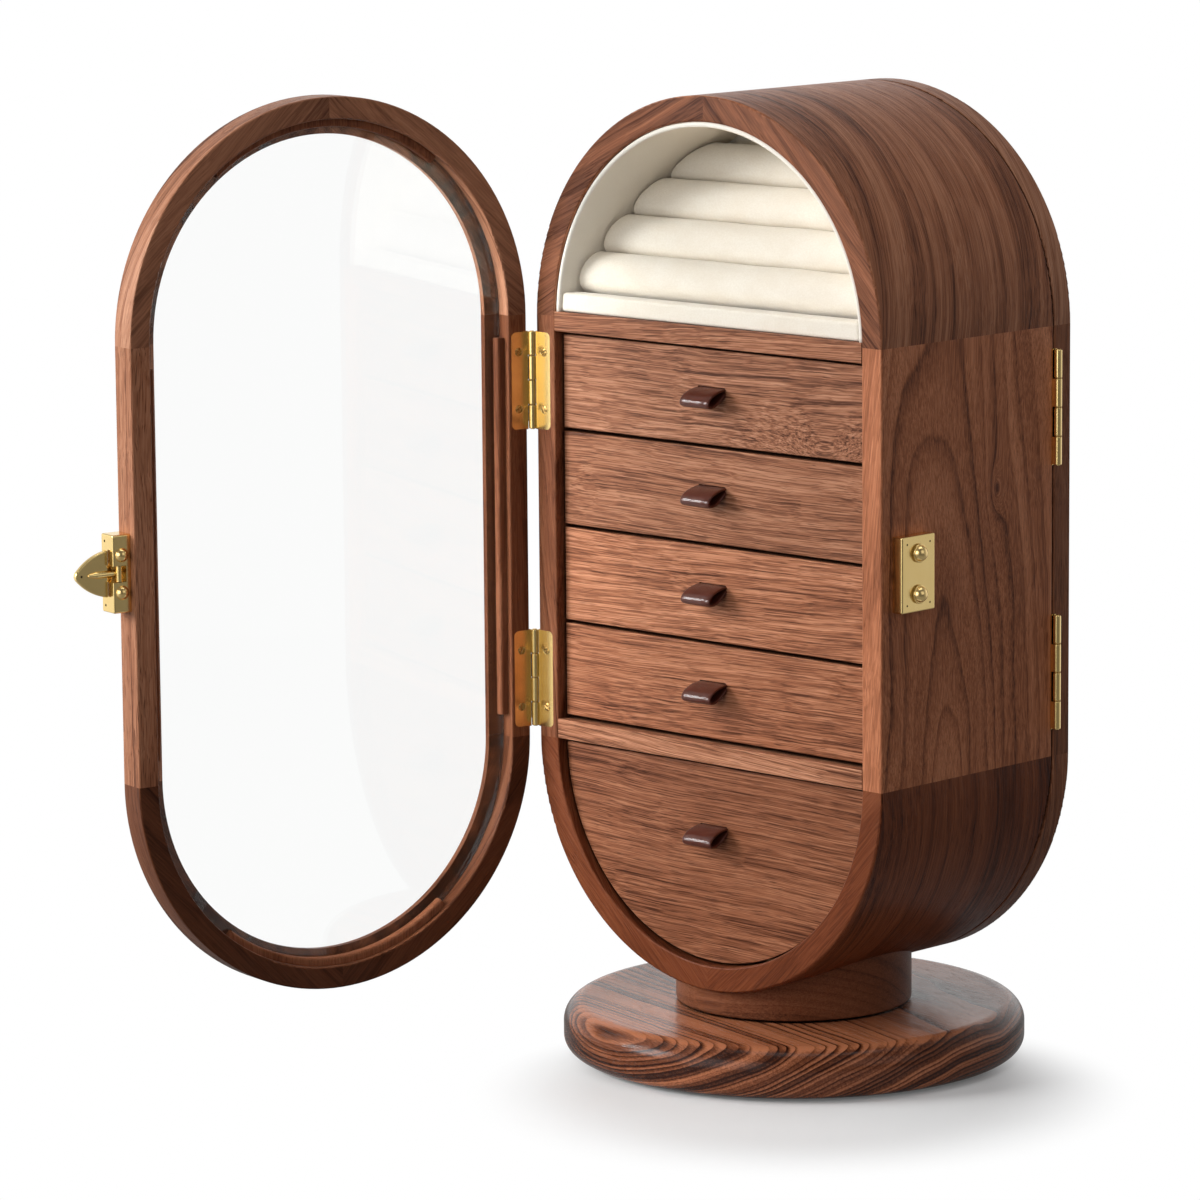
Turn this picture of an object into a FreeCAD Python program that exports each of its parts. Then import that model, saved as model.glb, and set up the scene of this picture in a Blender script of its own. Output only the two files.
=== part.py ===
import FreeCAD, Part
import math
import os

# A walnut jewellery cabinet on a round turning stand. Millimetres, +Z up, the front faces -Y.
# The origin is the centre of the stand's underside. The front door is modelled standing open.

Vector = FreeCAD.Vector

# Case: an upright outline with two straight sides and half-round ends
case_width = 180.0
straight_height = 168.0
case_depth = 100.0
case_wall = 10.0
eased_edge = 0.8

# Stand and swivel
felt_proud = 1.0
felt_thickness = 1.6
felt_diameter = 160.0
base_diameter = 182.0
base_thickness = 20.0
base_top_round = 8.5
base_bottom_round = 6.5
neck_diameter = 93.0
neck_height = 10.2
neck_floor = 3.4
swivel_gap = 0.8
slip_ring_outer = 70.0
slip_ring_inner = 40.0
slip_ring_thickness = 1.5
running_gap = 0.3
bolt_diameter = 8.0
bolt_head_diameter = 18.0
bolt_head_height = 4.0
bolt_end = 0.8
washer_thickness = 1.2
nut_height = 3.5
nut_across_corners = 15.0
nut_pocket_diameter = 26.0

# Shelves and the panel between the front and rear compartments
shelf_thickness = 7.8
shelf_rise = 1.8
shelf_edge = 0.4
divider_setback = 60.0
divider_thickness = 4.0

# Drawers
drawer_count = 4
drawer_gap = 1.3
drawer_side_gap = 0.8
drawer_recess = 4.0
drawer_front_thickness = 9.0
drawer_front_edge = 0.6
drawer_board = 5.0
drawer_bottom = 3.0
drawer_headroom = 4.0
drawer_rear_gap = 2.0
drawer_box_inset = 2.4
runner_height = 4.4
runner_bite = 2.1
tray_wall = 3.0
tray_drop = 3.0
tray_pull_drop = 25.0

# Folded leather pulls
pull_width = 14.0
pull_leather = 1.5
pull_rise = 2.6
pull_reach = 7.2
pull_nose_radius = 2.6
pull_droop = 15.0
pull_start = 0.9
pull_tail = 11.0

# Velvet ring compartment under the top arch
liner_thickness = 2.0
liner_setback = 0.6
pad_thickness = 2.0
ledge_height = 7.4
ledge_depth = 8.0
ledge_setback = 2.0
ledge_round = 1.6
roll_count = 4
roll_radius = 8.6
roll_first_setback = 19.0
roll_first_height = 12.8
roll_step_back = 9.9
roll_step_up = 14.2
roll_end_round = 6.5
soft_gap = 0.3

# Front door
door_rest_angle = 101.0
door_gap = 0.6
door_thickness = 12.0
door_face_width = 8.7
door_sight_width = 14.7
door_rabbet_depth = 9.0
glass_thickness = 3.0
glass_clearance = 0.3
bead_width = 3.2
bead_thickness = 3.2
bead_round = 1.3
bead_half_angle = 38.0
bead_end_gap = 9.0

# Rear door
rear_thickness = 10.0
rear_face_width = 10.0
rear_lip_width = 14.0
rear_rabbet_depth = 6.0
rear_panel_thickness = 5.0

# Butt hinges
hinge_offset = 2.2
hinge_leaf_width = 7.6
hinge_leaf_thickness = 1.0
hinge_corner = 2.4
hinge_leaf_edge = 0.25
knuckle_count = 4
knuckle_radius = 1.5
knuckle_gap = 0.5
knuckle_edge = 0.25
pin_radius = 0.8
pin_clearance = 0.12
front_hinge_height = 39.0
front_hinge_from_joint = 5.1
rear_hinge_height = 45.0
rear_hinge_from_joint = 9.8
rear_hinge_rise = 1.0
screw_head_radius = 1.7
screw_shank_radius = 0.8
screw_head_height = 0.7
screw_length = 7.5
screw_inset = 3.9
screw_from_end = 8.2

# Swinging latch on the door's free edge and its catch on the case
latch_drop = 1.5
latch_height = 30.0
latch_reach = 7.7
latch_body_thickness = 8.8
latch_from_face = 3.1
latch_edge = 0.7
latch_slot_height = 6.3
latch_slot_depth = 5.6
latch_slot_back = 2.0
latch_pin_radius = 0.7
latch_pin_out = 4.4
latch_pin_from_face = 4.6
latch_pin_hold = 2.5
latch_pin_clearance = 0.12
latch_hole_radius = 0.5
latch_hole_inset = 2.7
latch_hole_depth = 0.9
rivet_spread = 7.2
rivet_head_radius = 2.75
rivet_head_height = 2.0
rivet_shank_radius = 1.2
rivet_length = 4.0
tongue_base = 4.0
tongue_point = 18.4
tongue_half_height = 9.0
tongue_tip_round = 2.6
tongue_bulge = 1.7
tongue_thickness = 2.0
tongue_offset = 1.8
tongue_edge = 0.5
tongue_hole_radius = 0.45
tongue_hole_from_tip = 3.2
tongue_hole_depth = 0.8
arm_radius = 1.35
arm_length = 8.8
arm_taper = 3.0
arm_nose_radius = 0.75
eye_radius = 1.3
eye_gap = 0.2
catch_setback = 6.2
catch_length = 18.8
catch_height = 29.0
catch_thickness = 4.8
catch_edge = 0.6
catch_hole_inset = 2.9
catch_hole_radius = 0.4
catch_hole_depth = 0.8
stud_spread = 7.8
stud_collar_radius = 3.6
stud_collar_height = 1.1
stud_collar_edge = 0.35
stud_radius = 3.1
stud_height = 2.5
stud_shank_radius = 1.4
stud_length = 6.0

# Necklace rail in the rear compartment
rail_length = 104.0
rail_height = 10.0
rail_thickness = 6.0
rail_rise = 12.0
hook_count = 6
hook_pitch = 17.0
hook_length = 13.0
hook_radius = 1.2
hook_ball_radius = 2.4
hook_seat = 3.0

# Levels and planes that follow from the sizes above
case_radius = case_width / 2
inner_radius = case_radius - case_wall
base_top = felt_proud + base_thickness
neck_foot = base_top + swivel_gap
case_bottom = neck_foot + neck_height
bowl_z = case_bottom + case_radius
arch_z = bowl_z + straight_height
middle_z = (bowl_z + arch_z) / 2
front_y = -case_depth / 2
rear_y = case_depth / 2
divider_y = front_y + divider_setback
upper_shelf_top = arch_z + shelf_rise
upper_shelf_bottom = upper_shelf_top - shelf_thickness
lower_shelf_top = bowl_z + shelf_thickness
door_face_y = front_y - door_gap
rear_face_y = rear_y + door_gap
latch_z = middle_z - latch_drop
front_axis = Vector(-case_radius - hinge_offset, front_y - door_gap / 2, 0)
rear_axis = Vector(case_radius + hinge_offset, rear_y + door_gap / 2, 0)
latch_axis = Vector(case_radius + latch_pin_out, door_face_y - latch_pin_from_face, 0)

UP = Vector(0, 0, 1)
BACK = Vector(0, 1, 0)
RIGHT = Vector(1, 0, 0)


def box(x_range, y_range, z_range):
    """A block between three pairs of limits, given in either order."""
    low = Vector(min(x_range), min(y_range), min(z_range))
    size = [abs(pair[1] - pair[0]) for pair in (x_range, y_range, z_range)]
    return Part.makeBox(size[0], size[1], size[2], low)


def stadium(radius, y_range):
    """The case's outline with its half-round ends at the given radius, drawn out along Y."""
    y = min(y_range)
    left_low, left_high = Vector(-radius, y, bowl_z), Vector(-radius, y, arch_z)
    right_low, right_high = Vector(radius, y, bowl_z), Vector(radius, y, arch_z)
    outline = Part.Wire([
        Part.LineSegment(left_low, left_high).toShape(),
        Part.Arc(left_high, Vector(0, y, arch_z + radius), right_high).toShape(),
        Part.LineSegment(right_high, right_low).toShape(),
        Part.Arc(right_low, Vector(0, y, bowl_z - radius), left_low).toShape(),
    ])
    return Part.Face(outline).extrude(Vector(0, abs(y_range[1] - y_range[0]), 0))


def round_along_y(radius, z, y_range):
    """A cylinder that lies front to back at height z."""
    start = Vector(0, min(y_range), z)
    return Part.makeCylinder(radius, abs(y_range[1] - y_range[0]), start, BACK)


def upright(radius, axis, z_range):
    """A cylinder that stands on a vertical axis."""
    foot = Vector(axis.x, axis.y, min(z_range))
    return Part.makeCylinder(radius, abs(z_range[1] - z_range[0]), foot, UP)


def ease(shape, radius, keep):
    """Rounds the edges whose bounding box satisfies the test."""
    return shape.makeFillet(radius, [edge for edge in shape.Edges if keep(edge.BoundBox)])


def in_plane_y(*levels):
    """A test for edges that lie flat in one of the planes y = level."""
    return lambda b: b.YLength < 1e-4 and any(abs(b.YMin - y) < 1e-4 for y in levels)


def only(shape):
    """The single solid of a boolean result."""
    return shape.Solids[0]


def ring_boards(ring):
    """Splits a ring of the case's outline at its joints: top halves, bottom halves, left, right."""
    reach = case_width + straight_height
    left, right = (-reach, 0), (0, reach)

    def between(across, level):
        return only(ring.common(box(across, (-reach, reach), level)))

    top = [between(side, (arch_z, arch_z + reach)) for side in (left, right)]
    bottom = [between(side, (bowl_z - reach, bowl_z)) for side in (left, right)]
    return top, bottom, between(left, (bowl_z, arch_z)), between(right, (bowl_z, arch_z))


def trimmed(shape, tools):
    """The shape with each tool cut out of it."""
    for tool in tools:
        shape = shape.cut(tool)
    return only(shape)


def dome(radius, height, centre, axis):
    """A round head whose flat side is at centre and whose crown points along axis."""
    sphere_radius = (radius ** 2 + height ** 2) / (2 * height)
    ball = Part.makeSphere(sphere_radius, centre + axis * (height - sphere_radius))
    slab = Part.makeCylinder(radius * 2, height * 2, centre, axis)
    return only(ball.common(slab))


def save(name, *solids):
    """Writes one node, a single solid or a group of separate ones."""
    shape = solids[0] if len(solids) == 1 else Part.makeCompound(list(solids))
    shape.exportStep(os.path.join("parts", name + ".step"))


def opened(shape):
    """A front door piece, modelled shut, turned to where the door stands open."""
    turned = shape.copy()
    turned.rotate(front_axis, UP, -door_rest_angle)
    return turned


def hinge_leaf(edge_x, inward, face_y, into, axis, z, height, knuckles, bore):
    """A leaf let into a board: plate, its own knuckles, bore and two countersunk holes."""
    z_range = (z - height / 2, z + height / 2)
    outer_x = edge_x + inward * hinge_leaf_width
    barrel_x = axis.x + inward * (knuckle_radius + knuckle_gap / 2)
    y_range = (face_y, face_y + into * hinge_leaf_thickness)
    plate = box((barrel_x, outer_x), y_range, z_range)
    leaf = ease(plate, hinge_corner, lambda b: b.YLength > hinge_leaf_edge and abs(b.XMin - outer_x) < 1e-4)
    at_face = in_plane_y(face_y)
    leaf = ease(leaf, hinge_leaf_edge, lambda b: at_face(b) and abs(b.Center.x - barrel_x) > hinge_leaf_edge)
    pitch = height / knuckle_count
    for index in knuckles:
        low = z_range[0] + index * pitch + knuckle_gap / 2
        span = (low, low + pitch - knuckle_gap)
        knuckle = ease(upright(knuckle_radius, axis, span), knuckle_edge, lambda b: b.ZLength < 1e-4)
        leaf = leaf.fuse(knuckle)
        leaf = leaf.fuse(box((axis.x, barrel_x), y_range, span))
    leaf = leaf.removeSplitter().cut(upright(bore, axis, z_range))
    screws = []
    for side in (-1, 1):
        head = Vector(edge_x + inward * screw_inset, face_y, z + side * (height / 2 - screw_from_end))
        inside = Vector(0, into, 0)
        cone = Part.makeCone(screw_head_radius, screw_shank_radius, screw_head_height, head, inside)
        shank = Part.makeCylinder(screw_shank_radius, screw_length, head, inside)
        screws.append(only(cone.fuse(shank).removeSplitter()))
    return trimmed(leaf, screws), screws


def hinge_pair(edge_x, inward, case_y, outward, door_y, axis, middle, height):
    """One butt hinge: the case leaf, the door leaf, the pin and both sets of screws."""
    fixed = range(0, knuckle_count, 2)
    moving = range(1, knuckle_count, 2)
    case = hinge_leaf(edge_x, inward, case_y, -outward, axis, middle, height, fixed, pin_radius)
    loose_bore = pin_radius + pin_clearance
    door = hinge_leaf(edge_x, inward, door_y, outward, axis, middle, height, moving, loose_bore)
    pin = upright(pin_radius, axis, (middle - height / 2, middle + height / 2))
    return case, door, pin


def stand():
    """The round base with its felt, the bolt that holds the neck and the ring it turns on."""
    radius = base_diameter / 2
    foot, top = felt_proud, base_top
    bow_high = math.sqrt(0.5) * base_top_round
    bow_low = math.sqrt(0.5) * base_bottom_round
    high_centre = (radius - base_top_round, top - base_top_round)
    low_centre = (radius - base_bottom_round, foot + base_bottom_round)
    axis_foot, axis_top = Vector(0, 0, foot), Vector(0, 0, top)
    flat_low, side_low = Vector(low_centre[0], 0, foot), Vector(radius, 0, low_centre[1])
    side_high, flat_high = Vector(radius, 0, high_centre[1]), Vector(high_centre[0], 0, top)
    low_middle = Vector(low_centre[0] + bow_low, 0, low_centre[1] - bow_low)
    high_middle = Vector(high_centre[0] + bow_high, 0, high_centre[1] + bow_high)
    profile = Part.Wire([
        Part.LineSegment(axis_foot, flat_low).toShape(),
        Part.Arc(flat_low, low_middle, side_low).toShape(),
        Part.LineSegment(side_low, side_high).toShape(),
        Part.Arc(side_high, high_middle, flat_high).toShape(),
        Part.LineSegment(flat_high, axis_top).toShape(),
        Part.LineSegment(axis_top, axis_foot).toShape(),
    ])
    disc = Part.Face(profile).revolve(Vector(0, 0, 0), UP, 360)
    centre = Vector(0, 0, 0)
    felt = upright(felt_diameter / 2, centre, (0, felt_thickness))
    ring_top = neck_foot - running_gap
    ring = upright(slip_ring_outer / 2, centre, (ring_top - slip_ring_thickness, ring_top))
    ring = ring.cut(upright(slip_ring_inner / 2, centre, (foot, top + swivel_gap)))
    head_top = felt_thickness + bolt_head_height
    washer_low = neck_foot + neck_floor + running_gap
    washer_high = washer_low + washer_thickness
    nut_high = washer_high + nut_height
    shank = upright(bolt_diameter / 2, centre, (felt_thickness, nut_high + bolt_end))
    head = upright(bolt_head_diameter / 2, centre, (felt_thickness, head_top))
    bolt = only(head.fuse(shank).removeSplitter())
    washer = upright(bolt_head_diameter / 2, centre, (washer_low, washer_high)).cut(shank)
    corners = [math.radians(60 * step) for step in range(7)]
    points = [Vector(math.cos(a), math.sin(a), 0) * (nut_across_corners / 2) for a in corners]
    hexagon = Part.Face(Part.makePolygon([p + UP * washer_high for p in points]))
    nut = hexagon.extrude(UP * nut_height).cut(shank)
    save("base_disc", trimmed(disc, [felt, ring, bolt]))
    save("base_felt_pad", felt)
    save("swivel_slip_ring", only(ring))
    save("swivel_bolt", bolt, only(washer), only(nut))


def neck():
    """The turned neck, saddled to the case's round underside and free to turn on the bolt."""
    centre = Vector(0, 0, 0)
    post = upright(neck_diameter / 2, centre, (neck_foot, bowl_z))
    post = post.cut(round_along_y(case_radius, bowl_z, (-neck_diameter, neck_diameter)))
    post = ease(post, eased_edge, lambda b: b.ZLength < 1e-4 and abs(b.ZMin - neck_foot) < 1e-4)
    bore = upright(bolt_diameter / 2 + running_gap, centre, (neck_foot, bowl_z))
    pocket = upright(nut_pocket_diameter / 2, centre, (neck_foot + neck_floor, bowl_z))
    save("swivel_neck", trimmed(post, [bore, pocket]))


def case(front_hinges, rear_hinges, studs):
    """The boards of the case, let in for the hinges and bored for the catch."""
    depth = (front_y, rear_y)
    ring = stadium(case_radius, depth).cut(stadium(inner_radius, depth))
    ring = ease(ring, eased_edge, in_plane_y(front_y, rear_y))
    top, bottom, left, right = ring_boards(ring)
    for (leaf, screws), _, _ in front_hinges:
        left = trimmed(left, [leaf] + screws)
    for (leaf, screws), _, _ in rear_hinges:
        right = trimmed(right, [leaf] + screws)
    save("case_top_arch", *top)
    save("case_bottom_arch", *bottom)
    save("case_left_side", left)
    save("case_right_side", trimmed(right, studs))


def shelves():
    """Two shelves flush with the case's front edge, and the panel behind them."""
    room = stadium(inner_radius, (front_y, rear_y))
    across = (-inner_radius, inner_radius)
    along = (front_y, divider_y)
    levels = {
        "shelf_upper": (upper_shelf_bottom, upper_shelf_top),
        "shelf_lower": (bowl_z, lower_shelf_top),
    }
    for name, level in levels.items():
        board = box(across, along, level)
        board = ease(board, shelf_edge, lambda b: b.XLength > 1 and abs(b.YMax - front_y) < 1e-4)
        save(name, only(board.common(room)))
    save("divider_panel", stadium(inner_radius, (divider_y, divider_y + divider_thickness)))


def leather_pull(face_y, z):
    """A strip folded into a drooping loop, its doubled tail let through the drawer front."""
    half = pull_leather
    nose = Vector(0, -pull_reach, 0)
    left = -pull_width / 2

    def loop(start, half_start, radius):
        high, low = Vector(0, -start, half_start), Vector(0, -start, -half_start)
        nose_high, nose_low = nose + Vector(0, 0, radius), nose - Vector(0, 0, radius)
        edges = [
            Part.LineSegment(high, nose_high).toShape(),
            Part.Arc(nose_high, nose - Vector(0, radius, 0), nose_low).toShape(),
            Part.LineSegment(nose_low, low).toShape(),
        ]
        if half_start > 0:
            edges.append(Part.LineSegment(low, high).toShape())
        solid = Part.Face(Part.Wire(edges)).extrude(RIGHT * pull_width)
        solid.rotate(Vector(0, 0, 0), RIGHT, pull_droop)
        solid.translate(Vector(left, face_y, z))
        return solid

    strip = loop(pull_start, half, pull_nose_radius)
    strip = strip.cut(loop(pull_start + pull_leather, 0, pull_nose_radius - pull_leather))
    tail = box((left, -left), (face_y - pull_start, face_y + pull_tail), (z - half, z + half))
    return only(strip.fuse(tail).removeSplitter()), tail


def drawer_slot(number, front, boards, z):
    """Writes a drawer's front, its box and the pull that goes through the front."""
    face_y = front_y + drawer_recess
    front = ease(front, drawer_front_edge, in_plane_y(face_y))
    pull, tail = leather_pull(face_y, z)
    save("drawer_%d_front" % number, trimmed(front, [tail]))
    save("drawer_%d_box" % number, *[trimmed(board, [tail]) for board in boards])
    save("drawer_%d_pull" % number, pull)


def drawers():
    """Four boxes on side runners and a half-round tray that slides in the bottom arch."""
    face_y = front_y + drawer_recess
    box_y = face_y + drawer_front_thickness
    end_y = divider_y - drawer_rear_gap
    front_half = inner_radius - drawer_side_gap
    side_outer = inner_radius - drawer_box_inset
    side_inner = side_outer - drawer_board
    room = upper_shelf_bottom - lower_shelf_top
    pitch = (room - drawer_gap) / drawer_count
    runners = []
    for number in range(1, drawer_count + 1):
        high = upper_shelf_bottom - drawer_gap - (number - 1) * pitch
        low = high - (pitch - drawer_gap)
        middle = (high + low) / 2
        front = box((-front_half, front_half), (face_y, box_y), (low, high))
        wall = (low, high - drawer_headroom)
        grooves = []
        for side in (-1, 1):
            groove_z = runner_height / 2 + running_gap
            runner_x = (side * inner_radius, side * (side_outer - runner_bite))
            groove_x = (side * side_outer, side * (side_outer - runner_bite - running_gap))
            runner_z = (middle - runner_height / 2, middle + runner_height / 2)
            runners.append(box(runner_x, (box_y + drawer_rear_gap, divider_y), runner_z))
            grooves.append(box(groove_x, (box_y, end_y), (middle - groove_z, middle + groove_z)))
        left = box((-side_outer, -side_inner), (box_y, end_y), wall).cut(grooves[0])
        right = box((side_inner, side_outer), (box_y, end_y), wall).cut(grooves[1])
        inside = (-side_inner, side_inner)
        back = box(inside, (end_y - drawer_board, end_y), wall)
        floor = box(inside, (box_y, end_y - drawer_board), (low, low + drawer_bottom))
        drawer_slot(number, front, [only(left), only(right), back, floor], middle + pull_rise)
    save("drawer_runners", *runners)

    top = bowl_z - drawer_gap
    rim = top - tray_drop
    below = (bowl_z - case_width, top)
    wide = (-case_width, case_width)
    front_y_range = (face_y, box_y)
    front = round_along_y(front_half, bowl_z, front_y_range).common(box(wide, front_y_range, below))
    shell_radius = inner_radius - running_gap
    length = (box_y, end_y)
    cup = box(wide, length, (below[0], rim))
    shell = round_along_y(shell_radius, bowl_z, length)
    shell = shell.cut(round_along_y(shell_radius - tray_wall, bowl_z, length)).common(cup)
    back = round_along_y(shell_radius - tray_wall, bowl_z, (end_y - drawer_board, end_y)).common(cup)
    drawer_slot(drawer_count + 1, only(front), [only(shell), only(back)], top - tray_pull_drop)


def ring_compartment():
    """Velvet lining under the arch, a padded ledge and stepped ring rolls on a sloping bed."""
    lined = inner_radius - liner_thickness
    wide = (-case_width, case_width)
    liner_y = (front_y + liner_setback, divider_y)
    above = (upper_shelf_top, arch_z + case_width)
    space = box(wide, liner_y, above)
    liner = round_along_y(inner_radius, arch_z, liner_y).cut(round_along_y(lined, arch_z, liner_y))
    save("arch_liner", only(liner.common(space)))

    soft = round_along_y(lined - soft_gap, arch_z, liner_y).common(space)
    pad_y = divider_y - pad_thickness
    save("ring_back_pad", only(soft.common(box(wide, (pad_y, divider_y), above))))

    ledge_y = (front_y + ledge_setback, front_y + ledge_setback + ledge_depth)
    ledge = soft.common(box(wide, ledge_y, (upper_shelf_top, upper_shelf_top + ledge_height)))
    ledge_top = upper_shelf_top + ledge_height
    ledge = ease(ledge, ledge_round, lambda b: b.XLength > case_radius and abs(b.ZMin - ledge_top) < 1e-4)
    save("ring_ledge", only(ledge))

    rolls = []
    for index in range(roll_count):
        y = front_y + roll_first_setback + index * roll_step_back
        z = upper_shelf_top + roll_first_height + index * roll_step_up
        reach = math.sqrt((lined - soft_gap) ** 2 - (z - arch_z) ** 2)
        roll = Part.makeCylinder(roll_radius, 2 * reach, Vector(-reach, y, z), RIGHT)
        rolls.append(only(roll.makeFillet(roll_end_round, roll.Edges[::2]).common(soft)))
    save("ring_rolls", *rolls)

    step = Vector(0, roll_step_back, roll_step_up).normalize()
    behind = Vector(0, step.z, -step.y)
    first = Vector(0, front_y + roll_first_setback, upper_shelf_top + roll_first_height)
    seat = first + behind * (roll_radius + soft_gap)
    foot = seat + step * ((upper_shelf_top - seat.z) / step.z)
    head = seat + step * ((pad_y - seat.y) / step.y)
    corner = Vector(0, pad_y, upper_shelf_top)
    wedge = Part.Face(Part.makePolygon([foot, head, corner, foot]))
    wedge.translate(Vector(-case_radius, 0, 0))
    save("ring_bed", only(wedge.extrude(RIGHT * case_width).common(soft)))


def door_ring(face_y, outward, thickness, rabbet_depth, rabbet_radius, sight_radius):
    """The boards of a door frame of the case's outline, with a rabbet in its inner face."""
    full = (face_y, face_y + outward * thickness)
    rabbet = (face_y, face_y + outward * rabbet_depth)
    ring = stadium(case_radius, full).cut(stadium(sight_radius, full))
    ring = ring.cut(stadium(rabbet_radius, rabbet))
    return ring_boards(ease(ring, eased_edge, in_plane_y(*full)))


def front_door(hinges):
    """The glazed door frame with its pane and four glazing beads."""
    rabbet_radius = case_radius - door_face_width
    sight_radius = case_radius - door_sight_width
    top, bottom, hinge_stile, latch_stile = door_ring(
        door_face_y, -1, door_thickness, door_rabbet_depth, rabbet_radius, sight_radius)
    for _, (leaf, screws), _ in hinges:
        hinge_stile = trimmed(hinge_stile, [leaf] + screws)
    save("door_top_arch", *[opened(half) for half in top])
    save("door_bottom_arch", *[opened(half) for half in bottom])
    save("door_hinge_stile", opened(hinge_stile))
    save("door_latch_stile", opened(latch_stile))

    pane_y = door_face_y - door_rabbet_depth
    bead_y = pane_y + glass_thickness
    pane = stadium(rabbet_radius - glass_clearance, (pane_y, bead_y))
    save("door_glass", opened(pane))

    bead_range = (bead_y, bead_y + bead_thickness)
    bead_inner = rabbet_radius - bead_width
    upright_z = (bowl_z + bead_end_gap, arch_z - bead_end_gap)
    at_top = in_plane_y(bead_range[1])
    beads = []
    for side in (-1, 1):
        bar = box((side * bead_inner, side * rabbet_radius), bead_range, upright_z)
        edge_x = side * bead_inner
        beads.append(ease(bar, bead_round, lambda b: at_top(b) and abs(b.Center.x - edge_x) < 1e-4))
    bow = math.radians(bead_half_angle)
    for z, direction in ((arch_z, 1), (bowl_z, -1)):
        ring = round_along_y(rabbet_radius, z, bead_range)
        ring = ring.cut(round_along_y(bead_inner, z, bead_range))
        ring = ease(ring, bead_round, lambda b: at_top(b) and b.XMax < bead_inner + bead_width / 2)
        spread = case_width * math.tan(bow)
        centre = Vector(0, bead_range[0], z)
        rise = Vector(0, 0, direction * case_width)
        aside = RIGHT * spread
        sector = Part.makePolygon([centre, centre + rise + aside, centre + rise - aside, centre])
        beads.append(only(ring.common(Part.Face(sector).extrude(BACK * bead_thickness))))
    save("glazing_beads", *[opened(bead) for bead in beads])


def rear_door(hinges):
    """The rear door: the same outline as a frame with a plain inset panel."""
    rabbet_radius = case_radius - rear_face_width
    top, bottom, free_stile, hinge_stile = door_ring(
        rear_face_y, 1, rear_thickness, rear_rabbet_depth, rabbet_radius, case_radius - rear_lip_width)
    for _, (leaf, screws), _ in hinges:
        hinge_stile = trimmed(hinge_stile, [leaf] + screws)
    panel_end = rear_face_y + rear_rabbet_depth
    save("rear_top_arch", *top)
    save("rear_bottom_arch", *bottom)
    save("rear_free_stile", free_stile)
    save("rear_hinge_stile", hinge_stile)
    save("rear_panel", stadium(rabbet_radius, (panel_end - rear_panel_thickness, panel_end)))


def latch():
    """The latch body, its pin and rivets, and the tongue that swings on the pin."""
    edge_x = case_radius
    face = door_face_y - latch_from_face
    outer_x = edge_x + latch_reach
    body = box((edge_x, outer_x), (face, face - latch_body_thickness),
               (latch_z - latch_height / 2, latch_z + latch_height / 2))
    body = ease(body, latch_edge, lambda b: b.XMax > edge_x + latch_edge)
    slot = box((edge_x + latch_slot_back, outer_x), (face, face - latch_slot_depth),
               (latch_z - latch_slot_height / 2, latch_z + latch_slot_height / 2))
    half_pin = latch_slot_height / 2 + latch_pin_hold
    pin = upright(latch_pin_radius, latch_axis, (latch_z - half_pin, latch_z + half_pin))
    rivets = []
    for side in (-1, 1):
        seat = Vector(edge_x + latch_reach / 2, face, latch_z + side * rivet_spread)
        shank = Part.makeCylinder(rivet_shank_radius, rivet_length, seat, -BACK)
        rivets.append(only(dome(rivet_head_radius, rivet_head_height, seat, BACK).fuse(shank)))
    holes = []
    for side in (-1, 1):
        hole_z = latch_z + side * (latch_height / 2 - latch_hole_inset)
        mouth = Vector(outer_x, face - latch_body_thickness + latch_hole_inset, hole_z)
        holes.append(Part.makeCylinder(latch_hole_radius, latch_hole_depth, mouth, -RIGHT))
    save("latch_body", opened(trimmed(body, [slot, pin] + rivets + holes)))
    save("latch_fasteners", opened(pin), *[opened(rivet) for rivet in rivets])

    def at(out, z):
        return Vector(latch_axis.x + out, latch_axis.y - tongue_offset, latch_z + z)

    root_high, root_low = at(tongue_base, tongue_half_height), at(tongue_base, -tongue_half_height)
    tip = at(tongue_point, 0)
    flank = (tip - root_high).normalize()
    bulge = Vector(-flank.z, 0, flank.x) * tongue_bulge
    high_middle = (root_high + tip) * 0.5 + bulge
    low_middle = (root_low + tip) * 0.5 + Vector(bulge.x, 0, -bulge.z)
    outline = Part.Wire([
        Part.LineSegment(root_low, root_high).toShape(),
        Part.Arc(root_high, high_middle, tip).toShape(),
        Part.Arc(tip, low_middle, root_low).toShape(),
    ])
    plate = Part.Face(outline).extrude(-BACK * tongue_thickness)
    plate = ease(plate, tongue_tip_round, lambda b: b.YLength > tongue_edge and b.XMin > tip.x - 1e-4)
    plate = ease(plate, tongue_edge, lambda b: b.YLength < 1e-4 and b.XLength > tongue_edge)
    arm = Part.makeCylinder(arm_radius, arm_length, at(0, 0), RIGHT)
    arm = arm.fuse(Part.makeCone(arm_radius, arm_nose_radius, arm_taper, at(arm_length, 0), RIGHT))
    arm = arm.fuse(Part.makeSphere(arm_nose_radius, at(arm_length + arm_taper, 0)))
    half_eye = latch_slot_height / 2 - eye_gap
    eye_z = (latch_z - half_eye, latch_z + half_eye)
    tongue = plate.fuse(arm).fuse(upright(eye_radius, latch_axis, eye_z)).removeSplitter()
    mouth = at(tongue_point - tongue_hole_from_tip, 0)
    dot = Part.makeCylinder(tongue_hole_radius, tongue_hole_depth, mouth, -BACK)
    tongue = tongue.cut(upright(latch_pin_radius + latch_pin_clearance, latch_axis, eye_z)).cut(dot)
    save("latch_tongue", opened(only(tongue)))


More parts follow.
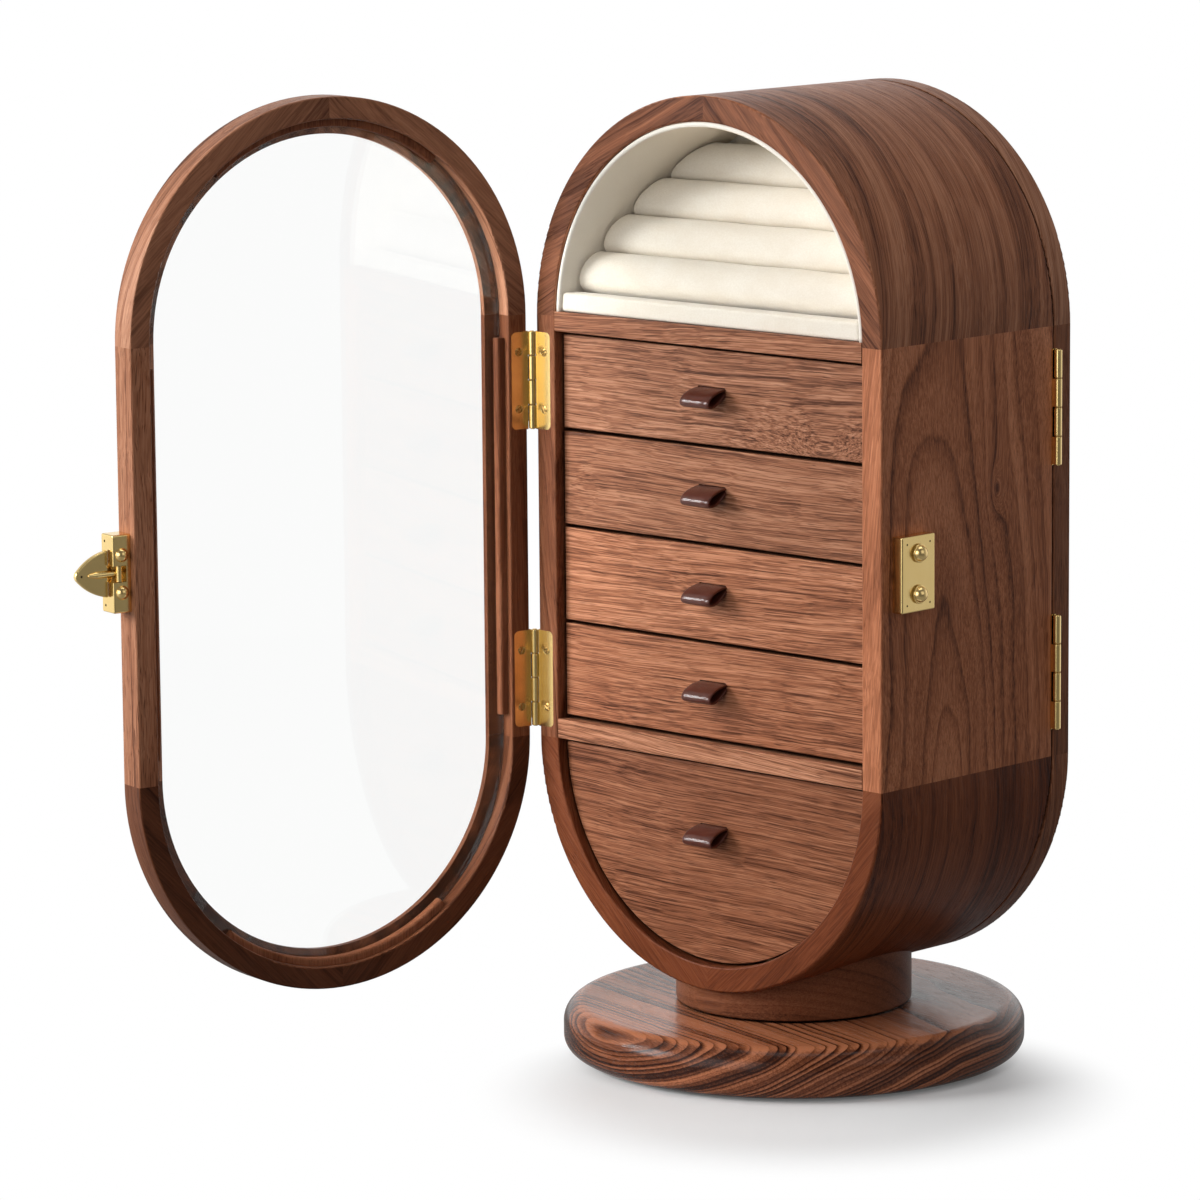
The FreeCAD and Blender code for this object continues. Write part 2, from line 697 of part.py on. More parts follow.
def catch():
    """The thick catch plate on the case's side; the tongue's tip drops between its studs."""
    side = case_radius
    y_range = (front_y + catch_setback, front_y + catch_setback + catch_length)
    plate = box((side, side + catch_thickness), y_range,
                (latch_z - catch_height / 2, latch_z + catch_height / 2))
    plate = ease(plate, catch_edge, lambda b: b.XMax > side + catch_edge)
    studs, holes = [], []
    for direction in (-1, 1):
        z = latch_z + direction * stud_spread
        seat = Vector(side + catch_thickness, sum(y_range) / 2, z)
        shank = Part.makeCylinder(stud_shank_radius, catch_thickness + stud_length, seat, -RIGHT)
        collar = Part.makeCylinder(stud_collar_radius, stud_collar_height, seat, RIGHT)
        collar = ease(collar, stud_collar_edge, lambda b: b.XMin > seat.x + stud_collar_edge)
        head = dome(stud_radius, stud_height, seat + RIGHT * stud_collar_height, RIGHT)
        studs.append(only(collar.fuse(head).fuse(shank).removeSplitter()))
        for y in (y_range[0] + catch_hole_inset, y_range[1] - catch_hole_inset):
            mouth = Vector(seat.x, y, latch_z + direction * (catch_height / 2 - catch_hole_inset))
            holes.append(Part.makeCylinder(catch_hole_radius, catch_hole_depth, mouth, -RIGHT))
    save("catch_plate", trimmed(plate, studs + holes))
    save("catch_studs", *studs)
    return studs


def necklace_rail():
    """A rail on the back of the divider with a row of ball-ended pegs."""
    rail_y = divider_y + divider_thickness
    rail_z = arch_z + rail_rise
    peg_y = rail_y + rail_thickness
    rail = box((-rail_length / 2, rail_length / 2), (rail_y, peg_y), (rail_z, rail_z + rail_height))
    hooks = []
    for index in range(hook_count):
        x = (index - (hook_count - 1) / 2) * hook_pitch
        start = Vector(x, peg_y - hook_seat, rail_z + rail_height / 2)
        stem = Part.makeCylinder(hook_radius, hook_seat + hook_length, start, BACK)
        ball = Part.makeSphere(hook_ball_radius, start + BACK * (hook_seat + hook_length))
        hooks.append(only(stem.fuse(ball)))
    save("necklace_rail", trimmed(rail, hooks))
    save("necklace_hooks", *hooks)


def hinges():
    """Two hinges for the front door on the left and two for the rear door on the right."""
    front, rear = [], []
    front_spread = straight_height / 2 - front_hinge_from_joint - front_hinge_height / 2
    rear_spread = straight_height / 2 - rear_hinge_from_joint - rear_hinge_height / 2
    for side in (1, -1):
        z = latch_z + side * front_spread
        front.append(hinge_pair(-case_radius, 1, front_y, -1, door_face_y, front_axis, z,
                                front_hinge_height))
        z = middle_z + rear_hinge_rise + side * rear_spread
        rear.append(hinge_pair(case_radius, -1, rear_y, 1, rear_face_y, rear_axis, z,
                               rear_hinge_height))
    every = front + rear
    save("case_hinge_leaves", *[leaf for (leaf, _), _, _ in every])
    save("case_hinge_screws", *[screw for (_, screws), _, _ in every for screw in screws])
    save("hinge_pins", *[pin for _, _, pin in every])
    save("door_hinge_leaves", *[opened(leaf) for _, (leaf, _), _ in front])
    save("door_hinge_screws", *[opened(s) for _, (_, screws), _ in front for s in screws])
    save("rear_hinge_leaves", *[leaf for _, (leaf, _), _ in rear])
    save("rear_hinge_screws", *[screw for _, (_, screws), _ in rear for screw in screws])
    return front, rear


os.makedirs("parts", exist_ok=True)
stand()
neck()
front_hinges, rear_hinges = hinges()
case(front_hinges, rear_hinges, catch())
shelves()
drawers()
ring_compartment()
front_door(front_hinges)
rear_door(rear_hinges)
latch()
necklace_rail()
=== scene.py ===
import math

import bmesh
import bpy
import numpy as np
from mathutils import Matrix, Vector


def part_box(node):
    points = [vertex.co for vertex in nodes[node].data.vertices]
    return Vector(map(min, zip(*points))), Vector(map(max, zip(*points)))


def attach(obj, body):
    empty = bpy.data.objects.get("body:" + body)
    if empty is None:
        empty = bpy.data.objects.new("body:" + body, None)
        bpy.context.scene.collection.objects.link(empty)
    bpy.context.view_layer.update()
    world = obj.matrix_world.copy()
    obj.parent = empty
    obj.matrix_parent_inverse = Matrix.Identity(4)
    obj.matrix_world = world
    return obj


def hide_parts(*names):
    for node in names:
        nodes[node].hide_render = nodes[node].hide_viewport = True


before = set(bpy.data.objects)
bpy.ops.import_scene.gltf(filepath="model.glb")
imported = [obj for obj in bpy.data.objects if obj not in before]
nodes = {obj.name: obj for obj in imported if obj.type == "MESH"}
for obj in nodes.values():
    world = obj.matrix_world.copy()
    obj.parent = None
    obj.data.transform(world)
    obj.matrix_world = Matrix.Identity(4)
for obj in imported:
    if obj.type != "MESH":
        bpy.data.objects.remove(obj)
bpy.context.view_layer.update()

# The base: a thick round of walnut with a bull-nosed edge, turned from one plank, so that its growth rings
# run across the top and come round the rim as nested waves. It has a harder, shinier polish than the
# case. The bolt and the slip ring of the swivel stay out of sight under the neck.
LOOKS_ALONG_Y = 0.72
# How far the painted shade in crevices reaches, and the near black that it paints the wood.
CREVICE_REACH = 0.004
CREVICE_SHADE_COLOUR = (0.010, 0.005, 0.003, 1)


def add(tree, kind, inputs=None, **settings):
    """A node of that kind in the tree, with its settings, and each input set or linked."""
    made = tree.nodes.new("ShaderNode" + kind)
    for key, value in settings.items():
        setattr(made, key, value)
    for key, value in (inputs or {}).items():
        if isinstance(value, bpy.types.NodeSocket):
            tree.links.new(value, made.inputs[key])
        else:
            made.inputs[key].default_value = value
    return made


def calc(tree, operation, *values):
    """The result of a maths node on one to three sockets or numbers."""
    return add(tree, "Math", dict(enumerate(values)), operation=operation).outputs[0]


def along(tree, operation, first, second):
    """The result of a vector maths node on two sockets or triples."""
    return add(tree, "VectorMath", {0: first, 1: second}, operation=operation).outputs[0]


def scaled(tree, vector, share):
    """A vector times a number."""
    return add(tree, "VectorMath", {0: vector, "Scale": share}, operation="SCALE").outputs[0]


def noise(tree, vector, scale, detail=2.0, roughness=0.5):
    """Noise stretched by a scale for each axis, in cycles a metre."""
    stretched = along(tree, "MULTIPLY", vector, scale)
    inputs = {"Vector": stretched, "Scale": 1.0, "Detail": detail, "Roughness": roughness}
    return add(tree, "TexNoise", inputs)


def ranged(tree, value, low, high, to_low=0.0, to_high=1.0, smooth=True):
    """A value carried from one range to another and held at its ends."""
    kind = "SMOOTHSTEP" if smooth else "LINEAR"
    inputs = {"Value": value, "From Min": low, "From Max": high, "To Min": to_low, "To Max": to_high}
    return add(tree, "MapRange", inputs, interpolation_type=kind).outputs[0]


def blended(tree, factor, first, second):
    """Two colours mixed by a factor."""
    return add(tree, "Mix", {0: factor, 6: first, 7: second}, data_type="RGBA").outputs[2]


def figure_group():
    """Walnut as a solid: growth rings about the log's heart, which runs along X through the origin.

    The rings are the distance from the heart over their spacing, in wood that slow noise bends, quick
    noise curls and a knot pushes aside. Each ring darkens towards its late wood and has its own
    strength. Over them lie broad bands of tone, long streaks, short fibres and the open
    pores, which are dark dashes along the grain.
    """
    tree = bpy.data.node_groups.new("walnut_figure", "ShaderNodeTree")
    face = tree.interface
    for name in ("Place", "Knot"):
        socket = face.new_socket(name, in_out="INPUT", socket_type="NodeSocketVector")
        socket.default_value = (9.0, 9.0, 9.0)
    shares = {"Spacing": 0.005, "Wander": 0.02, "Curl": 0.002, "Rings": 0.5, "Bands": 0.4, "Streaks": 0.6,
              "Pores": 0.5, "Lift": 0.0, "Knot Size": 0.004, "Knot Push": 0.01, "Knot Dark": 0.8}
    for name, value in shares.items():
        face.new_socket(name, in_out="INPUT", socket_type="NodeSocketFloat").default_value = value
    for name in ("Dark", "Middle", "Light"):
        face.new_socket(name, in_out="INPUT", socket_type="NodeSocketColor")
    face.new_socket("Color", in_out="OUTPUT", socket_type="NodeSocketColor")
    face.new_socket("Height", in_out="OUTPUT", socket_type="NodeSocketFloat")
    given = tree.nodes.new("NodeGroupInput").outputs
    place = given["Place"]

    middle, across = (0.5, 0.5, 0.5), (0.0, 1.0, 1.0)
    slow = along(tree, "SUBTRACT", noise(tree, place, (4.0, 15.0, 15.0)).outputs["Color"], middle)
    quick = along(tree, "SUBTRACT", noise(tree, place, (55.0, 75.0, 75.0)).outputs["Color"], middle)
    curled = along(tree, "MULTIPLY", quick, across)
    moved = along(tree, "ADD", place, scaled(tree, slow, given["Wander"]))
    moved = along(tree, "ADD", moved, scaled(tree, curled, given["Curl"]))
    off_knot = along(tree, "MULTIPLY", along(tree, "SUBTRACT", place, given["Knot"]), (0.45, 1.0, 1.0))
    distance = add(tree, "VectorMath", {0: off_knot}, operation="LENGTH").outputs["Value"]
    distance = calc(tree, "DIVIDE", distance, given["Knot Size"])
    push = calc(tree, "DIVIDE", 1.0, calc(tree, "ADD", 1.0, calc(tree, "MULTIPLY", distance, distance)))
    aside = scaled(tree, scaled(tree, across, push), given["Knot Push"])
    moved = along(tree, "ADD", moved, aside)

    flat = along(tree, "MULTIPLY", moved, across)
    radius = add(tree, "VectorMath", {0: flat}, operation="LENGTH").outputs["Value"]
    turns = calc(tree, "DIVIDE", radius, given["Spacing"])
    within = calc(tree, "FRACT", turns)
    number = {"W": calc(tree, "FLOOR", turns)}
    which = add(tree, "TexWhiteNoise", number, noise_dimensions="1D").outputs["Value"]
    early_again = ranged(tree, within, 0.88, 1.0, 1.0, 0.0)
    late = calc(tree, "MULTIPLY", calc(tree, "POWER", within, 3.0), early_again)
    ring = calc(tree, "MULTIPLY", late, calc(tree, "MULTIPLY_ADD", which, 1.1, 0.25))
    length = add(tree, "SeparateXYZ", {0: moved}).outputs["X"]
    sides = {0: calc(tree, "MULTIPLY", length, 3.0), 1: calc(tree, "MULTIPLY", turns, 0.42)}
    band_place = add(tree, "CombineXYZ", sides).outputs[0]
    band = add(tree, "TexNoise", {"Vector": band_place, "Scale": 1.0, "Detail": 2.0}).outputs["Fac"]
    band = calc(tree, "SUBTRACT", ranged(tree, band, 0.28, 0.72), 0.5)

    streak = ranged(tree, noise(tree, moved, (7.0, 1100.0, 1100.0), 3.0, 0.65).outputs["Fac"], 0.32, 0.68)
    fibre = ranged(tree, noise(tree, moved, (34.0, 2300.0, 2300.0), 2.0, 0.6).outputs["Fac"], 0.3, 0.7)
    threads = calc(tree, "MULTIPLY_ADD", streak, 0.4, calc(tree, "MULTIPLY", fibre, 0.6))
    threads = calc(tree, "MULTIPLY", calc(tree, "SUBTRACT", threads, 0.5), given["Streaks"])
    tone = calc(tree, "MULTIPLY_ADD", band, given["Bands"], calc(tree, "ADD", threads, 0.5))
    tone = calc(tree, "ADD", calc(tree, "MULTIPLY_ADD", given["Rings"], 0.16, tone), given["Lift"])
    tone = calc(tree, "SUBTRACT", tone, calc(tree, "MULTIPLY", ring, given["Rings"]))
    core = calc(tree, "MULTIPLY", ranged(tree, distance, 0.1, 0.75, 1.0, 0.0), given["Knot Dark"])
    tone = calc(tree, "SUBTRACT", tone, core)

    lower = blended(tree, ranged(tree, tone, 0.0, 0.5, smooth=False), given["Dark"], given["Middle"])
    color = blended(tree, ranged(tree, tone, 0.5, 1.0, smooth=False), lower, given["Light"])
    pore = ranged(tree, noise(tree, moved, (95.0, 3200.0, 3200.0), 1.0).outputs["Fac"], 0.57, 0.7)
    color = blended(tree, calc(tree, "MULTIPLY", pore, given["Pores"]), color, given["Dark"])
    height = calc(tree, "SUBTRACT", calc(tree, "MULTIPLY", fibre, 0.35), pore)
    out = tree.nodes.new("NodeGroupOutput")
    tree.links.new(color, out.inputs["Color"])
    tree.links.new(height, out.inputs["Height"])
    return tree


figure = figure_group()


def walnut_tones(share, warmth=1.0, contrast=1.0):
    """Dark, middle and light walnut, all brighter or darker by a share.

    Warmth takes out green and blue, and contrast parts the dark and the light tone from the middle one.
    """
    tones = {"Dark": (0.080, 0.026, 0.0125), "Middle": (0.335, 0.134, 0.069),
             "Light": (0.560, 0.270, 0.158)}
    shares = {"Dark": share / contrast, "Middle": share, "Light": share * contrast}
    return {name: (r * shares[name], g * shares[name] / warmth, b * shares[name] / warmth ** 1.8, 1)
            for name, (r, g, b) in tones.items()}


def surface(name):
    """A material, the tree that feeds it and its shader."""
    material = bpy.data.materials.new(name)
    material.use_nodes = True
    return material, material.node_tree, material.node_tree.nodes["Principled BSDF"]


def feed(shader, name, socket):
    """Links a socket to an input of a shader."""
    shader.id_data.links.new(socket, shader.inputs[name])


def placed(tree, vector, turn=(0, 0, 0), shift=(0, 0, 0)):
    """Coordinates turned by three angles in degrees, then moved."""
    inputs = {"Vector": vector, "Rotation": [math.radians(a) for a in turn], "Location": shift}
    return add(tree, "Mapping", inputs).outputs[0]


def oiled(tree, shader, place, tones, values, roughness, shaded_crevices=True):
    """Joins the walnut figure to a shader with an oiled, satin surface, rougher in the pores.

    On a board with shaded crevices, shade is painted into the wood's colour: it goes towards near black
    where less than half the sky is open, as in the gaps between boards.
    """
    grain = add(tree, "Group", {"Place": place, **tones, **values}, node_tree=figure)
    color = grain.outputs["Color"]
    # Painted shade: the colour goes towards near black where the AO node finds the board hemmed in.
    if shaded_crevices:
        open_share = add(tree, "AmbientOcclusion", {"Distance": CREVICE_REACH}, samples=6).outputs["AO"]
        color = blended(tree, ranged(tree, open_share, 0.08, 0.5), CREVICE_SHADE_COLOUR, color)
    feed(shader, "Base Color", color)
    relief = add(tree, "Bump", {"Height": grain.outputs["Height"], "Strength": 0.4, "Distance": 0.00015})
    feed(shader, "Normal", relief.outputs[0])
    low, high = roughness
    feed(shader, "Roughness", ranged(tree, grain.outputs["Height"], -1.0, 0.3, high, low))
    shader.inputs["Specular IOR Level"].default_value = 0.09


def board(name, turn, shift, tones, roughness=(0.38, 0.62), knot=None, lipped=None, painted_top_light=None,
          shaded_crevices=True, **values):
    """A straight board cut from the log: turned so that its grain is X, and moved to its place in the log.

    A knot is given where it shows on the board, and is carried along. A lipped board has a strip from
    another place in the log along its front edge, which looks along Y. A painted top light is the tone
    added on the board's sides and on its upper face, as painted shade and painted light from above.
    """
    material, tree, shader = surface(name)
    coordinates = add(tree, "TexCoord").outputs
    start = coordinates["Object"]
    place = placed(tree, start, turn, shift)
    if knot:
        values["Knot"] = placed(tree, knot, turn, shift)
    if painted_top_light:
        upward = add(tree, "SeparateXYZ", {0: coordinates["Normal"]}).outputs["Z"]
        values["Lift"] = ranged(tree, upward, 0.75, 0.98, *painted_top_light)
    if lipped:
        facing = calc(tree, "ABSOLUTE", add(tree, "SeparateXYZ", {0: coordinates["Normal"]}).outputs["Y"])
        is_lip = calc(tree, "GREATER_THAN", facing, LOOKS_ALONG_Y)
        lip = placed(tree, start, turn, lipped)
        place = add(tree, "Mix", {0: is_lip, 4: place, 5: lip}, data_type="VECTOR").outputs[1]
    oiled(tree, shader, place, tones, values, roughness, shaded_crevices)
    return material


def dress(material, *names):
    """Gives CAD nodes their finish."""
    for name in names:
        nodes[name].data.materials.clear()
        nodes[name].data.materials.append(material)


# Painted shade and painted light from above: the base's rim is painted darker and its top paler.
polished = board("walnut_base", (-16.8, 4.0, 13.0), (0.31, 0.0, 0.2), walnut_tones(0.52, 1.34, 1.6),
                 (0.18, 0.36), painted_top_light=(-0.2, 0.36), Spacing=0.0015, Wander=0.011, Curl=0.0006,
                 Rings=1.2, Bands=0.9, Streaks=0.45, Pores=0.3)
shader = polished.node_tree.nodes["Principled BSDF"]
shader.inputs["Specular IOR Level"].default_value = 0.12
shader.inputs["Coat Weight"].default_value = 0.14
shader.inputs["Coat Roughness"].default_value = 0.16
dress(polished, "base_disc")

steel, tree, shader = surface("bolt_steel")
shader.inputs["Metallic"].default_value = 1.0
shader.inputs["Base Color"].default_value = (0.56, 0.56, 0.58, 1)
start = add(tree, "TexCoord").outputs["Object"]
brushed = noise(tree, start, (900.0, 900.0, 60.0), 3.0).outputs["Fac"]
feed(shader, "Roughness", ranged(tree, brushed, 0.3, 0.7, 0.28, 0.46))
dress(steel, "swivel_bolt")

nylon, tree, shader = surface("slip_ring_nylon")
start = add(tree, "TexCoord").outputs["Object"]
speck = noise(tree, start, (1400.0, 1400.0, 1400.0)).outputs["Fac"]
black = blended(tree, speck, (0.02, 0.02, 0.02, 1), (0.05, 0.05, 0.05, 1))
feed(shader, "Base Color", black)
shader.inputs["Roughness"].default_value = 0.55
dress(nylon, "swivel_slip_ring")

# The felt pad under the base: a disc of pressed brown felt, glued on and a little proud of the wood,
# with a cut edge that has gone slightly round and fuzzy.
FELT_EDGE = 0.0005


def into_mesh(name, *grids, closed=(False, True), capped=True):
    """One mesh from grids of points, rows by columns, whose rows or columns may close on themselves.

    Each face joins point (i, j) to (i, j+1), (i+1, j+1) and (i+1, j). With caps, the first and the last
    row are each filled with one face. The faces are then turned outwards.
    """
    points, faces, start = [], [], 0
    for grid in grids:
        rows, columns = grid.shape[:2]
        row_steps = np.arange(rows - (not closed[0]))
        column_steps = np.arange(columns - (not closed[1]))
        i, j = np.meshgrid(row_steps, column_steps, indexing="ij")
        i_next, j_next = (i + 1) % rows, (j + 1) % columns
        corners = [i * columns + j, i * columns + j_next, i_next * columns + j_next, i_next * columns + j]
        faces += (start + np.stack(corners, axis=-1).reshape(-1, 4)).tolist()
        if capped:
            faces.append((start + np.arange(columns)[::-1]).tolist())
            faces.append((start + (rows - 1) * columns + np.arange(columns)).tolist())
        points.append(grid.reshape(-1, 3))
        start += rows * columns
    mesh = bpy.data.meshes.new(name)
    mesh.from_pydata(np.concatenate(points).tolist(), [], faces)
    work = bmesh.new()
    work.from_mesh(mesh)
    bmesh.ops.recalc_face_normals(work, faces=work.faces)
    work.to_mesh(mesh)
    work.free()
    return mesh


def piece(name, mesh, material, body):
    """A smooth-shaded object of that mesh on a body, which takes the material as its finish."""
    made = bpy.data.objects.new(name, mesh)
    bpy.context.scene.collection.objects.link(made)
    mesh.polygons.foreach_set("use_smooth", np.ones(len(mesh.polygons), dtype=bool))
    mesh.materials.append(material)
    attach(made, body)
    return made


def turned(profile, steps):
    """A profile of (radius, height) pairs carried once round Z."""
    angle = np.linspace(0, 2 * np.pi, steps, endpoint=False)
    radius, height = profile[:, 0, None], profile[:, 1, None]
    return np.stack([radius * np.cos(angle), radius * np.sin(angle), height + 0 * angle], axis=-1)


felt, tree, shader = surface("pressed_felt")
start = add(tree, "TexCoord").outputs["Object"]
hair = noise(tree, start, (1600.0, 1600.0, 1600.0), 4.0, 0.7).outputs["Fac"]
brown = blended(tree, hair, (0.035, 0.024, 0.018, 1), (0.11, 0.08, 0.06, 1))
feed(shader, "Base Color", brown)
relief = add(tree, "Bump", {"Height": hair, "Strength": 0.8, "Distance": 0.0003})
feed(shader, "Normal", relief.outputs[0])
shader.inputs["Roughness"].default_value = 0.95
shader.inputs["Sheen Weight"].default_value = 0.3
low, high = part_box("base_felt_pad")
bend = np.linspace(-np.pi / 2, np.pi / 2, 9)
edge_middle = np.where(bend < 0, low.z + FELT_EDGE, high.z - FELT_EDGE)
edge = np.stack([high.x - FELT_EDGE + FELT_EDGE * np.cos(bend), edge_middle + FELT_EDGE * np.sin(bend)],
                axis=-1)
rounds = np.concatenate([[[0.001, low.z]], edge, [[0.001, high.z]]])
felt_pad = piece("felt_pad", into_mesh("felt_pad", turned(rounds, 96)), felt, "stand")
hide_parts("base_felt_pad")

# The neck: a turned walnut collar that the cabinet turns on, saddled to the case's round underside and
# screwed to it. Its grain lies level, so that its right end shows end grain.
collar = board("walnut_neck", (0, 4.0, 2.0), (0.9, 0.05, 0.085), walnut_tones(0.5, 1.24), (0.3, 0.5),
               Spacing=0.0034, Wander=0.006, Curl=0.0004, Rings=0.3, Streaks=0.45, Pores=0.2)
dress(collar, "swivel_neck")

# The case: two arches and two flat sides in walnut. Each arch is two quarter rounds glued together, faced
# with veneer whose grain follows the curve. Its cut front edges show the quarters' own straight grain,
# which runs along each quarter's chord and meets in a joint at the middle of the arch.
ARCH_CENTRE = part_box("case_top_arch")[0].z
BOWL_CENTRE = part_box("case_bottom_arch")[1].z
CASE_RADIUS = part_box("case_top_arch")[1].x
FLAT_CALM = 0.6
# The arches' faces along Y are painted darker than their curves: painted shade.
PAINTED_FLAT_SHADE = -0.24
BENT = {"Spacing": 0.0052, "Wander": 0.025, "Curl": 0.001, "Rings": 0.4, "Bands": 0.6, "Streaks": 0.7,
        "Pores": 0.4}
SAWN = {"Spacing": 0.0052, "Wander": 0.03, "Curl": 0.0015, "Rings": 0.45, "Bands": 0.45, "Streaks": 0.5,
        "Pores": 0.4}
VENEER_SLANT = 8.0
NEXT_QUARTER = Vector((0.4, 0.02, 0.01))


def rounded_place(tree, start, centre, shift):
    """Coordinates that follow an arch: X is the length round it, Y its depth, Z the distance from its rim."""
    sides = add(tree, "SeparateXYZ", {0: start}).outputs
    up = calc(tree, "SUBTRACT", sides["Z"], centre)
    angle = calc(tree, "ARCTAN2", sides["X"], calc(tree, "ABSOLUTE", up))
    flat = along(tree, "SUBTRACT", along(tree, "MULTIPLY", start, (1.0, 0.0, 1.0)), (0.0, 0.0, centre))
    radius = add(tree, "VectorMath", {0: flat}, operation="LENGTH").outputs["Value"]
    round_length = calc(tree, "MULTIPLY", angle, CASE_RADIUS)
    past_rim = calc(tree, "SUBTRACT", radius, CASE_RADIUS)
    bent = add(tree, "CombineXYZ", {0: round_length, 1: sides["Y"], 2: past_rim}).outputs[0]
    return placed(tree, bent, (0, 0, VENEER_SLANT), shift)


def quarter_place(tree, start, slopes, shift):
    """Coordinates of an arch's two quarter rounds, left and right, with straight grain of those slopes."""
    left = placed(tree, start, (0, slopes[0], 0), shift)
    right = placed(tree, start, (0, slopes[1], 0), Vector(shift) + NEXT_QUARTER)
    is_right = calc(tree, "GREATER_THAN", add(tree, "SeparateXYZ", {0: start}).outputs["X"], 0.0)
    return add(tree, "Mix", {0: is_right, 4: left, 5: right}, data_type="VECTOR").outputs[1]


def arch(name, centre, slopes, shift, tones, values, swung=None, painted_flat_tone=PAINTED_FLAT_SHADE):
    """An arch of two quarter rounds: the grain follows the curve, except on the flat faces along Y.

    A swung arch is first turned by an angle and moved, to where it lies when its door is shut. The painted
    flat tone is how much paler those faces are painted: painted light above zero, painted shade below it.
    """
    material, tree, shader = surface(name)
    coordinates = add(tree, "TexCoord").outputs
    start, normal = coordinates["Object"], coordinates["Normal"]
    if swung:
        start = placed(tree, start, (0, 0, swung[0]), swung[1])
        normal = placed(tree, normal, (0, 0, swung[0]))
    facing = calc(tree, "ABSOLUTE", add(tree, "SeparateXYZ", {0: normal}).outputs["Y"])
    is_flat = calc(tree, "GREATER_THAN", facing, LOOKS_ALONG_Y)
    bent = rounded_place(tree, start, centre, shift)
    cut = quarter_place(tree, start, slopes, shift)
    place = add(tree, "Mix", {0: is_flat, 4: bent, 5: cut}, data_type="VECTOR").outputs[1]
    calm = {name: ranged(tree, is_flat, 0.0, 1.0, values[name], values[name] * FLAT_CALM)
            for name in ("Rings", "Bands", "Streaks", "Pores")}
    calm["Lift"] = ranged(tree, is_flat, 0.0, 1.0, 0.0, painted_flat_tone)
    oiled(tree, shader, place, tones, {**values, **calm}, (0.34, 0.6))
    return material


top_arch = arch("walnut_top_arch", ARCH_CENTRE, (27, -47), (0.2, 0.16, 0.03), walnut_tones(0.88, 1.08), BENT)
# The bottom arch, which faces down, is painted darker and warmer as painted shade; its front faces a little
# paler.
bottom_arch = arch("walnut_bottom_arch", BOWL_CENTRE, (-45, 45), (1.3, 0.19, 0.02), walnut_tones(0.5, 1.5),
                   BENT, painted_flat_tone=0.08)
dress(top_arch, "case_top_arch")
dress(bottom_arch, "case_bottom_arch")
# The right side, which faces the dim side of the room, is painted paler and warmer: painted light.
right_side = board("walnut_right_side", (0, 83, 0), (0.05, 0.015, 0.0862), walnut_tones(1.38, 1.12),
                   knot=(0.09, 0.0168, 0.2308), lipped=(0.9, 0.32, 0.05),
                   **{**SAWN, "Knot Size": 0.0028, "Knot Push": 0.007})
left_side = board("walnut_left_side", (0, 97, 0), (2.1, 0.012, -0.135), walnut_tones(0.62, 1.2), **SAWN)
dress(right_side, "case_right_side")
dress(left_side, "case_left_side")

# The shelves, flush with the case's front edge and glued between its sides, and the panel that closes the
# front compartments. The shelves show their long grain and their pores in front.
STRAIGHT = {"Spacing": 0.0034, "Wander": 0.014, "Curl": 0.0006, "Rings": 0.26, "Bands": 0.24, "Streaks": 1.08,
            "Pores": 0.6}
upper_shelf = board("walnut_upper_shelf", (0, 2.0, 0), (3.0, 0.09, -0.2), walnut_tones(0.88, 1.04),
                    **STRAIGHT)
lower_shelf = board("walnut_lower_shelf", (0, -2.0, 0), (3.7, 0.1, -0.06), walnut_tones(1.1), **STRAIGHT)
divider = board("walnut_divider", (0, 90, 0), (4.4, 0.05, 0.0), walnut_tones(0.9), **SAWN)
dress(upper_shelf, "shelf_upper")
dress(lower_shelf, "shelf_lower")
dress(divider, "divider_panel")

# The drawer boxes and the runners that they slide on: plain pale wood, left matt, which shows only
# when a drawer is open.
PALE = {"Dark": (0.30, 0.18, 0.10, 1), "Middle": (0.52, 0.36, 0.22, 1), "Light": (0.66, 0.50, 0.34, 1)}
box_wood = board("pale_box_wood", (0, 1.0, 0), (5.0, 0.12, 0.3), PALE, (0.55, 0.75), shaded_crevices=False,
                 Spacing=0.004, Wander=0.02, Rings=0.25, Streaks=0.4, Pores=0.15)
dress(box_wood, "drawer_runners", *["drawer_%d_box" % n for n in range(1, 6)])

# The drawer fronts: five fronts from one walnut plank, with the grain across, so that the figure changes a
# little from one to the next. The top one has a curl by its lower right corner. The lowest is a half
# round that fills the bottom arch.
FRONT_CURL = (0.058, -0.046, 0.2488)
# The last share, for the tray, is lower: painted shade where the light falls off into the bottom arch.
FRONT_SHARES = (0.92, 0.84, 1.07, 0.94, 0.69)
for number in range(1, 6):
    shift = (6.0 + 0.37 * number, 0.085 + 0.006 * number, -0.36 + 0.009 * number)
    values = {**STRAIGHT, "Curl": 0.0011 - 0.0001 * number}
    if number == 1:
        values.update({"Knot Size": 0.009, "Knot Push": 0.009, "Knot Dark": 0.0})
    tones = walnut_tones(FRONT_SHARES[number - 1], 0.95 + 0.04 * number)
    slope = 1.6 - 0.9 * (number % 3)
    knot = FRONT_CURL if number == 1 else None
    front = board("walnut_drawer_%d" % number, (0, slope, 0), shift, tones, knot=knot, **values)
    dress(front, "drawer_%d_front" % number)

# The leather pulls: a strip of dark glossy leather for each drawer, folded to a loop and pushed through
# a slot in the front, so that the loop droops a little under its own weight.
PULL_WIDTH = 0.0150
PULL_LEATHER = 0.0013
PULL_LENGTH = 0.0106
PULL_SWELL = 0.0021
PULL_DROOP = math.radians(25)
PULL_HIDE = 0.004
PULL_START = 0.16
PULL_RISE = 0.0026
TRAY_PULL_DROP = 0.025


